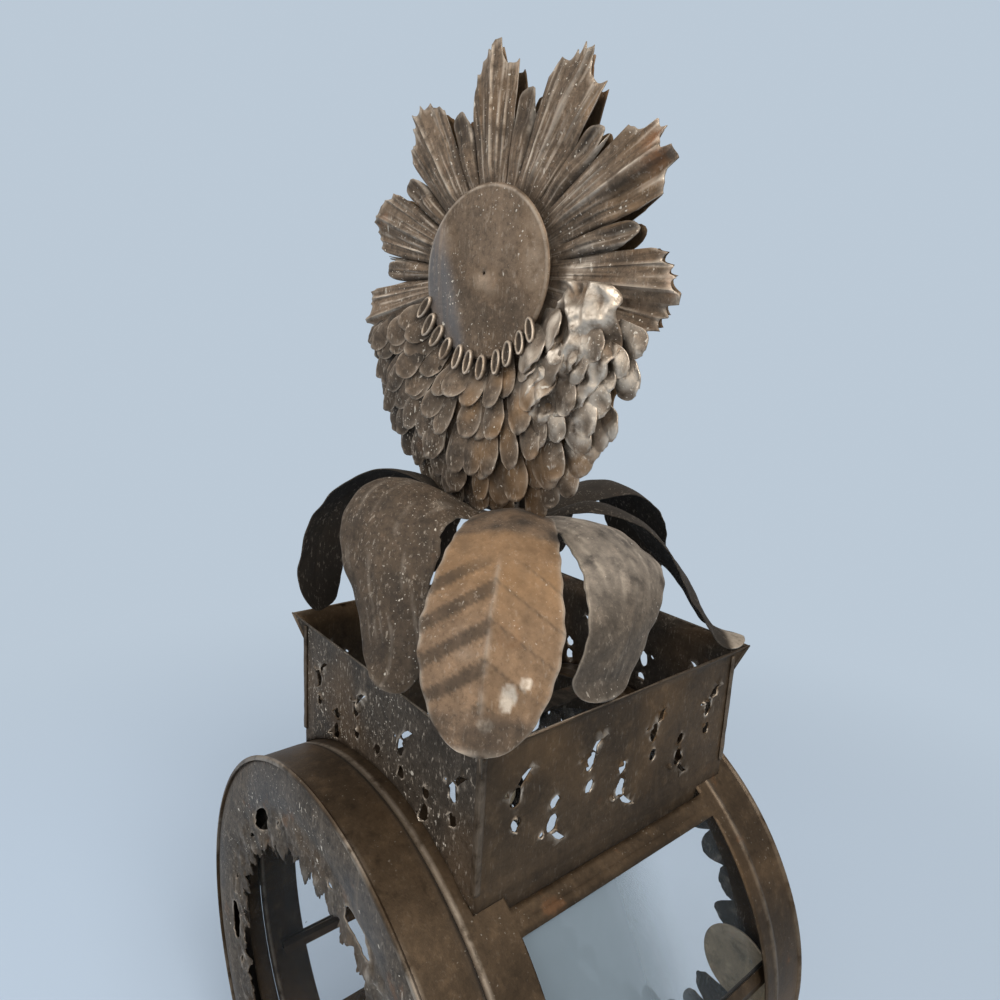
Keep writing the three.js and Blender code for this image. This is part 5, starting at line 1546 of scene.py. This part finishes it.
class LANTERN_OT_hardware(bpy.types.Operator):
    """Hinge, hook, studs, stem, collar, strap and the socket behind the sun"""

    bl_idname = "lantern.hardware"
    bl_label = "Hardware"

    def execute(self, context):
        paint(("hinge_leaf_drum", "hinge_leaf_door", "hinge_pin", "latch_stud", "latch_pivot",
               "latch_hook", "stem_strap"), "iron")
        low, top = upright(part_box("stem"))
        profile = [(0.01, low), (14, low), (14.2, low + 1), (13.8, low + 2), (9, low + 3.4),
                   (7, low + 5), (5.4, low + 8), (5, low + 10)]
        profile += [(5 + 0.06 * math.sin(k * 1.7), z)
                    for k, z in enumerate(np.linspace(low + 30, top - 1, 24))]
        profile += [(4.2, top), (0.01, top)]
        turned_piece("stem_rod", profile, 40, "iron", "stem", "iron_dark", closed=False, merge=2e-5)
        low, top = upright(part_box("leaf_collar"))
        profile = [(5.4, low), (9.4, low), (10.6, low + 1), (11.5, low + 3.5), (11.7, low + 6),
                   (11.5, low + 8.5), (10.6, top - 1), (9.4, top), (5.4, top)]
        turned_piece("collar", profile, 48, "tin_dark", "leaf_collar", "tin_brown")
        low, top = upright(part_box("sun_socket"))
        profile = [(5.4, low), (6.4, low), (6.6, low + 0.8), (6.4, low + 2), (6.4, top - 2),
                   (6.1, top - 0.6), (5.0, top), (0.01, top), (0.01, top - 1.2), (5.4, top - 1.3)]
        turned_piece("rear_socket", profile, 48, "tin_dark", "sun_socket", "tin_brown", merge=2e-5)
        return {"FINISHED"}


class LANTERN_OT_foot(bpy.types.Operator):
    """Foot walls with their flare, and the plate underneath"""

    bl_idname = "lantern.foot"
    bl_label = "Foot"

    def execute(self, context):
        paint(("foot_walls", "foot_plate"), "tin_wall")
        return {"FINISHED"}


# Each tin finish: name, the colour it starts from and how bright, and what differs from plain tin
TIN_FINISHES = (
    ("tin_drum", "tin_brown", 0.78,
     {"specks": 0.1, "rust": 0.1, "crust": 0.05, "streaks": 0.25, "gloss": 0.85, "flecks": 0.06}),
    ("tin_wall", "tin_brown", 0.85,
     {"specks": 0.06, "rust": 0.08, "crust": 0.12, "streaks": 0.25, "gloss": 0.7, "flecks": 0.1}),
    ("tin_dark", "tin_brown", 0.5, {"specks": 0.05, "rust": 0.1, "crust": 0.2}),
    ("tin_face", "tin_grey", 0.8,
     {"specks": 0.55, "rust": 0.1, "crust": 0.9, "streaks": 0.5, "flecks": 0.35}),
    ("tin_spotted", "tin_grey", 0.62,
     {"specks": 0.9, "rust": 0.06, "crust": 1.0, "streaks": 0.7, "flecks": 0.95}),
    ("tin_back", "tin_grey", 0.4, {"specks": 0.1, "rust": 0.08, "crust": 0.4}),
    ("tin_sun", "tin_sun", 0.92,
     {"specks": 0.55, "rust": 0.12, "crust": 0.6, "streaks": 0.35, "gloss": 0.6, "flecks": 0.4}),
    # Painted light: lighter than the brown tin, for a sheet that lies in shade.
    ("tin_sun_back", "tin_brown", 1.3, {"specks": 0.1, "rust": 0.2, "streaks": 0.3}),
    ("tin_disc", "tin_sun", 0.85,
     {"specks": 0.5, "rust": 0.05, "crust": 0.4, "streaks": 0.35, "gloss": 0.6, "flecks": 0.3}),
    ("tin_scale_inner", "tin_sun", 0.85,
     {"specks": 0.45, "rust": 0.1, "crust": 0.5, "gloss": 0.65, "flecks": 0.5}),
    ("tin_scale", "tin_sun", 0.8,
     {"specks": 0.95, "rust": 0.1, "crust": 0.55, "gloss": 0.75, "flecks": 0.8}),
    ("tin_leaf", "tin_leaf", 1.0,
     {"specks": 0.2, "rust": 0.08, "crust": 0.4, "streaks": 0.3, "gloss": 0.45, "metal": 0.5}),
    ("tin_leaf_grey", "tin_grey", 1.35, {"rust": 0.04, "crust": 0.45, "gloss": 0.55}),
    ("tin_leaf_brown", "tin_sun", 0.72,
     {"specks": 0.5, "rust": 0.08, "crust": 0.55, "flecks": 0.5}),
    ("tin_leaf_dark", "tin_brown", 0.4, {"specks": 0.06, "rust": 0.06, "gloss": 0.4}),
    ("tin_bright", "tin_sun", 1.7, {"specks": 0.15, "rust": 0.12, "crust": 0.1, "gloss": 0.8}),
    ("tin_pale", "tin_pale", 1.0,
     {"specks": 0.05, "rust": 0.08, "crust": 0.06, "gloss": 0.7, "metal": 0.3, "flecks": 0.05}),
)


class LANTERN_OT_finishes(bpy.types.Operator):
    """Materials of the lantern"""

    bl_idname = "lantern.finishes"
    bl_label = "Finishes"

    def execute(self, context):
        for name, colour, level, settings in TIN_FINISHES:
            base = [c * level for c in getattr(context.scene.lantern_colours, colour)]
            aged_tin(name, base, **settings)
        dark_iron("iron")
        dusty_glass("glass", 0.02, 0.02, 0.02)
        dusty_glass("glass_hazy", 0.8, 0.05, 0.25)
        return {"FINISHED"}


# Stage


# Name, place and aim in metres, width, watts and colour of each lamp
LAMPS = (
    ("key", (1.15, -0.25, 1.65), (0, 0, 0.7), 0.7, 17, (1.0, 0.96, 0.9)),
    ("fill", (-1.2, -1.5, 1.5), (0, 0, 0.6), 1.2, 12, (0.94, 0.97, 1.0)),
    ("front", (0.9, -1.6, 1.0), (0, 0, 0.7), 1.2, 7, (1.0, 0.97, 0.93)),
)
# The photograph's camera: place in metres, way round, rise and roll in degrees, and the lens and
# the width of the sensor in mm
CAMERA_PLACE = (0.37356, -0.33968, 0.69048)
CAMERA_ANGLES = (49.857, -12.160, 3.143)
LENS = 25.552
SENSOR = 36.0


class LANTERN_OT_stage(bpy.types.Operator):
    """Pale floor, soft light and the camera at the photograph's angle"""

    bl_idname = "lantern.stage"
    bl_label = "Stage"

    def execute(self, context):
        scene = context.scene
        scene.view_settings.view_transform = "Standard"
        self.floor(scene, scene.lantern_colours)
        self.surroundings(scene, scene.lantern_colours)
        self.lamps(scene)
        self.camera(scene)
        return {"FINISHED"}

    def floor(self, scene, colours):
        """A wide floor that turns into the backdrop's colour away from the lantern."""
        mesh = bpy.data.meshes.new("floor")
        mesh.from_pydata([(-9, -9, 0), (9, -9, 0), (9, 9, 0), (-9, 9, 0)], [], [(0, 1, 2, 3)])
        floor = bpy.data.objects.new("floor", mesh)
        floor.location.z = -0.0006  # just under the foot
        scene.collection.objects.link(floor)
        g = new_material("floor")
        away = g.node("ShaderNodeVectorMath", {0: g.place()}, operation="LENGTH").outputs["Value"]
        ray = g.node("ShaderNodeLightPath").outputs
        seen = g.most(ray["Is Camera Ray"], ray["Is Transmission Ray"])
        far = g.times(g.step(away, 0.5, 1.4), seen)
        shader = g.node("ShaderNodeBsdfPrincipled",
                        {"Base Color": rgba(colours.floor), "Roughness": 0.9})
        distant = g.node("ShaderNodeEmission", {"Color": rgba(colours.backdrop), "Strength": 1.0})
        both = g.node("ShaderNodeMixShader", {0: far, 1: shader.outputs[0], 2: distant.outputs[0]})
        g.node("ShaderNodeOutputMaterial", {"Surface": both.outputs[0]})
        mesh.materials.append(FINISHES["floor"])

    def surroundings(self, scene, colours):
        """Soft light from above; the camera sees the plain backdrop instead."""
        world = bpy.data.worlds.new("surroundings")
        scene.world = world
        world.use_nodes = True
        world.node_tree.nodes.clear()
        g = Graph(world.node_tree)
        path = g.node("ShaderNodeLightPath").outputs
        seen = g.most(path["Is Camera Ray"], path["Is Transmission Ray"])
        sky = g.node("ShaderNodeTexCoord").outputs["Generated"]
        way = g.node("ShaderNodeSeparateXYZ", {0: sky})
        glow = g.blend(g.step(way.outputs["Z"], -0.5, 0.7), 0.16, 0.62)
        lit = g.node("ShaderNodeBackground", {"Color": (1.0, 0.97, 0.93, 1.0), "Strength": glow})
        wall = g.node("ShaderNodeBackground", {"Color": rgba(colours.backdrop), "Strength": 1.0})
        both = g.node("ShaderNodeMixShader", {0: seen, 1: lit.outputs[0], 2: wall.outputs[0]})
        g.node("ShaderNodeOutputWorld", {"Surface": both.outputs[0]})

    def lamps(self, scene):
        for name, place, aim, width, power, colour in LAMPS:
            lamp = bpy.data.lights.new(name, "AREA")
            lamp.shape = "DISK"
            lamp.size = width
            lamp.energy = power
            lamp.color = colour
            holder = bpy.data.objects.new(name, lamp)
            holder.location = place
            aim = Vector(aim) - Vector(place)
            holder.rotation_euler = aim.to_track_quat("-Z", "Y").to_euler()
            scene.collection.objects.link(holder)

    def camera(self, scene):
        azimuth, rise, roll = (math.radians(a) for a in CAMERA_ANGLES)
        ahead = Vector((-math.sin(azimuth) * math.cos(rise), math.cos(azimuth) * math.cos(rise),
                        math.sin(rise)))
        right = ahead.cross(Vector((0, 0, 1))).normalized()
        up = right.cross(ahead)
        side = math.cos(roll) * right + math.sin(roll) * up
        over = -math.sin(roll) * right + math.cos(roll) * up
        lens = bpy.data.cameras.new("camera")
        lens.sensor_width = SENSOR
        lens.lens = LENS
        lens.clip_start = 0.01
        camera = bpy.data.objects.new("camera", lens)
        turn = Matrix((side, over, -ahead)).transposed().to_4x4()
        camera.matrix_world = Matrix.Translation(CAMERA_PLACE) @ turn
        scene.collection.objects.link(camera)
        scene.camera = camera


STEPS = (
    LANTERN_OT_stage, LANTERN_OT_finishes, LANTERN_OT_drum, LANTERN_OT_faces, LANTERN_OT_glazing,
    LANTERN_OT_gallery, LANTERN_OT_leaves, LANTERN_OT_sun_sheets, LANTERN_OT_sun_scales,
    LANTERN_OT_sun_disc, LANTERN_OT_fittings, LANTERN_OT_hardware, LANTERN_OT_foot,
)
GROUPS = (
    (LanternDrumSizes, "lantern_drum"), (LanternGallerySizes, "lantern_gallery"),
    (LanternCrownSizes, "lantern_crown"), (LanternColours, "lantern_colours"),
)


class LANTERN_PT_panel(bpy.types.Panel):
    """Sizes, colours and building steps of the lantern"""

    bl_idname = "LANTERN_PT_panel"
    bl_label = "Tin lantern"
    bl_space_type = "VIEW_3D"
    bl_region_type = "UI"
    bl_category = "Lantern"

    def draw(self, context):
        for group, holder in GROUPS:
            column = self.layout.column(align=True)
            for name in group.__annotations__:
                column.prop(getattr(context.scene, holder), name)
        for step in STEPS:
            self.layout.operator(step.bl_idname)


def register():
    for group, holder in GROUPS:
        bpy.utils.register_class(group)
        setattr(bpy.types.Scene, holder, PointerProperty(type=group))
    for step in STEPS:
        bpy.utils.register_class(step)
    bpy.utils.register_class(LANTERN_PT_panel)


def unregister():
    bpy.utils.unregister_class(LANTERN_PT_panel)
    for step in reversed(STEPS):
        bpy.utils.unregister_class(step)
    for group, holder in reversed(GROUPS):
        delattr(bpy.types.Scene, holder)
        bpy.utils.unregister_class(group)


def main():
    register()
    for step in STEPS:
        group, name = step.bl_idname.split(".")
        getattr(getattr(bpy.ops, group), name)()


if __name__ == "__main__":
    main()
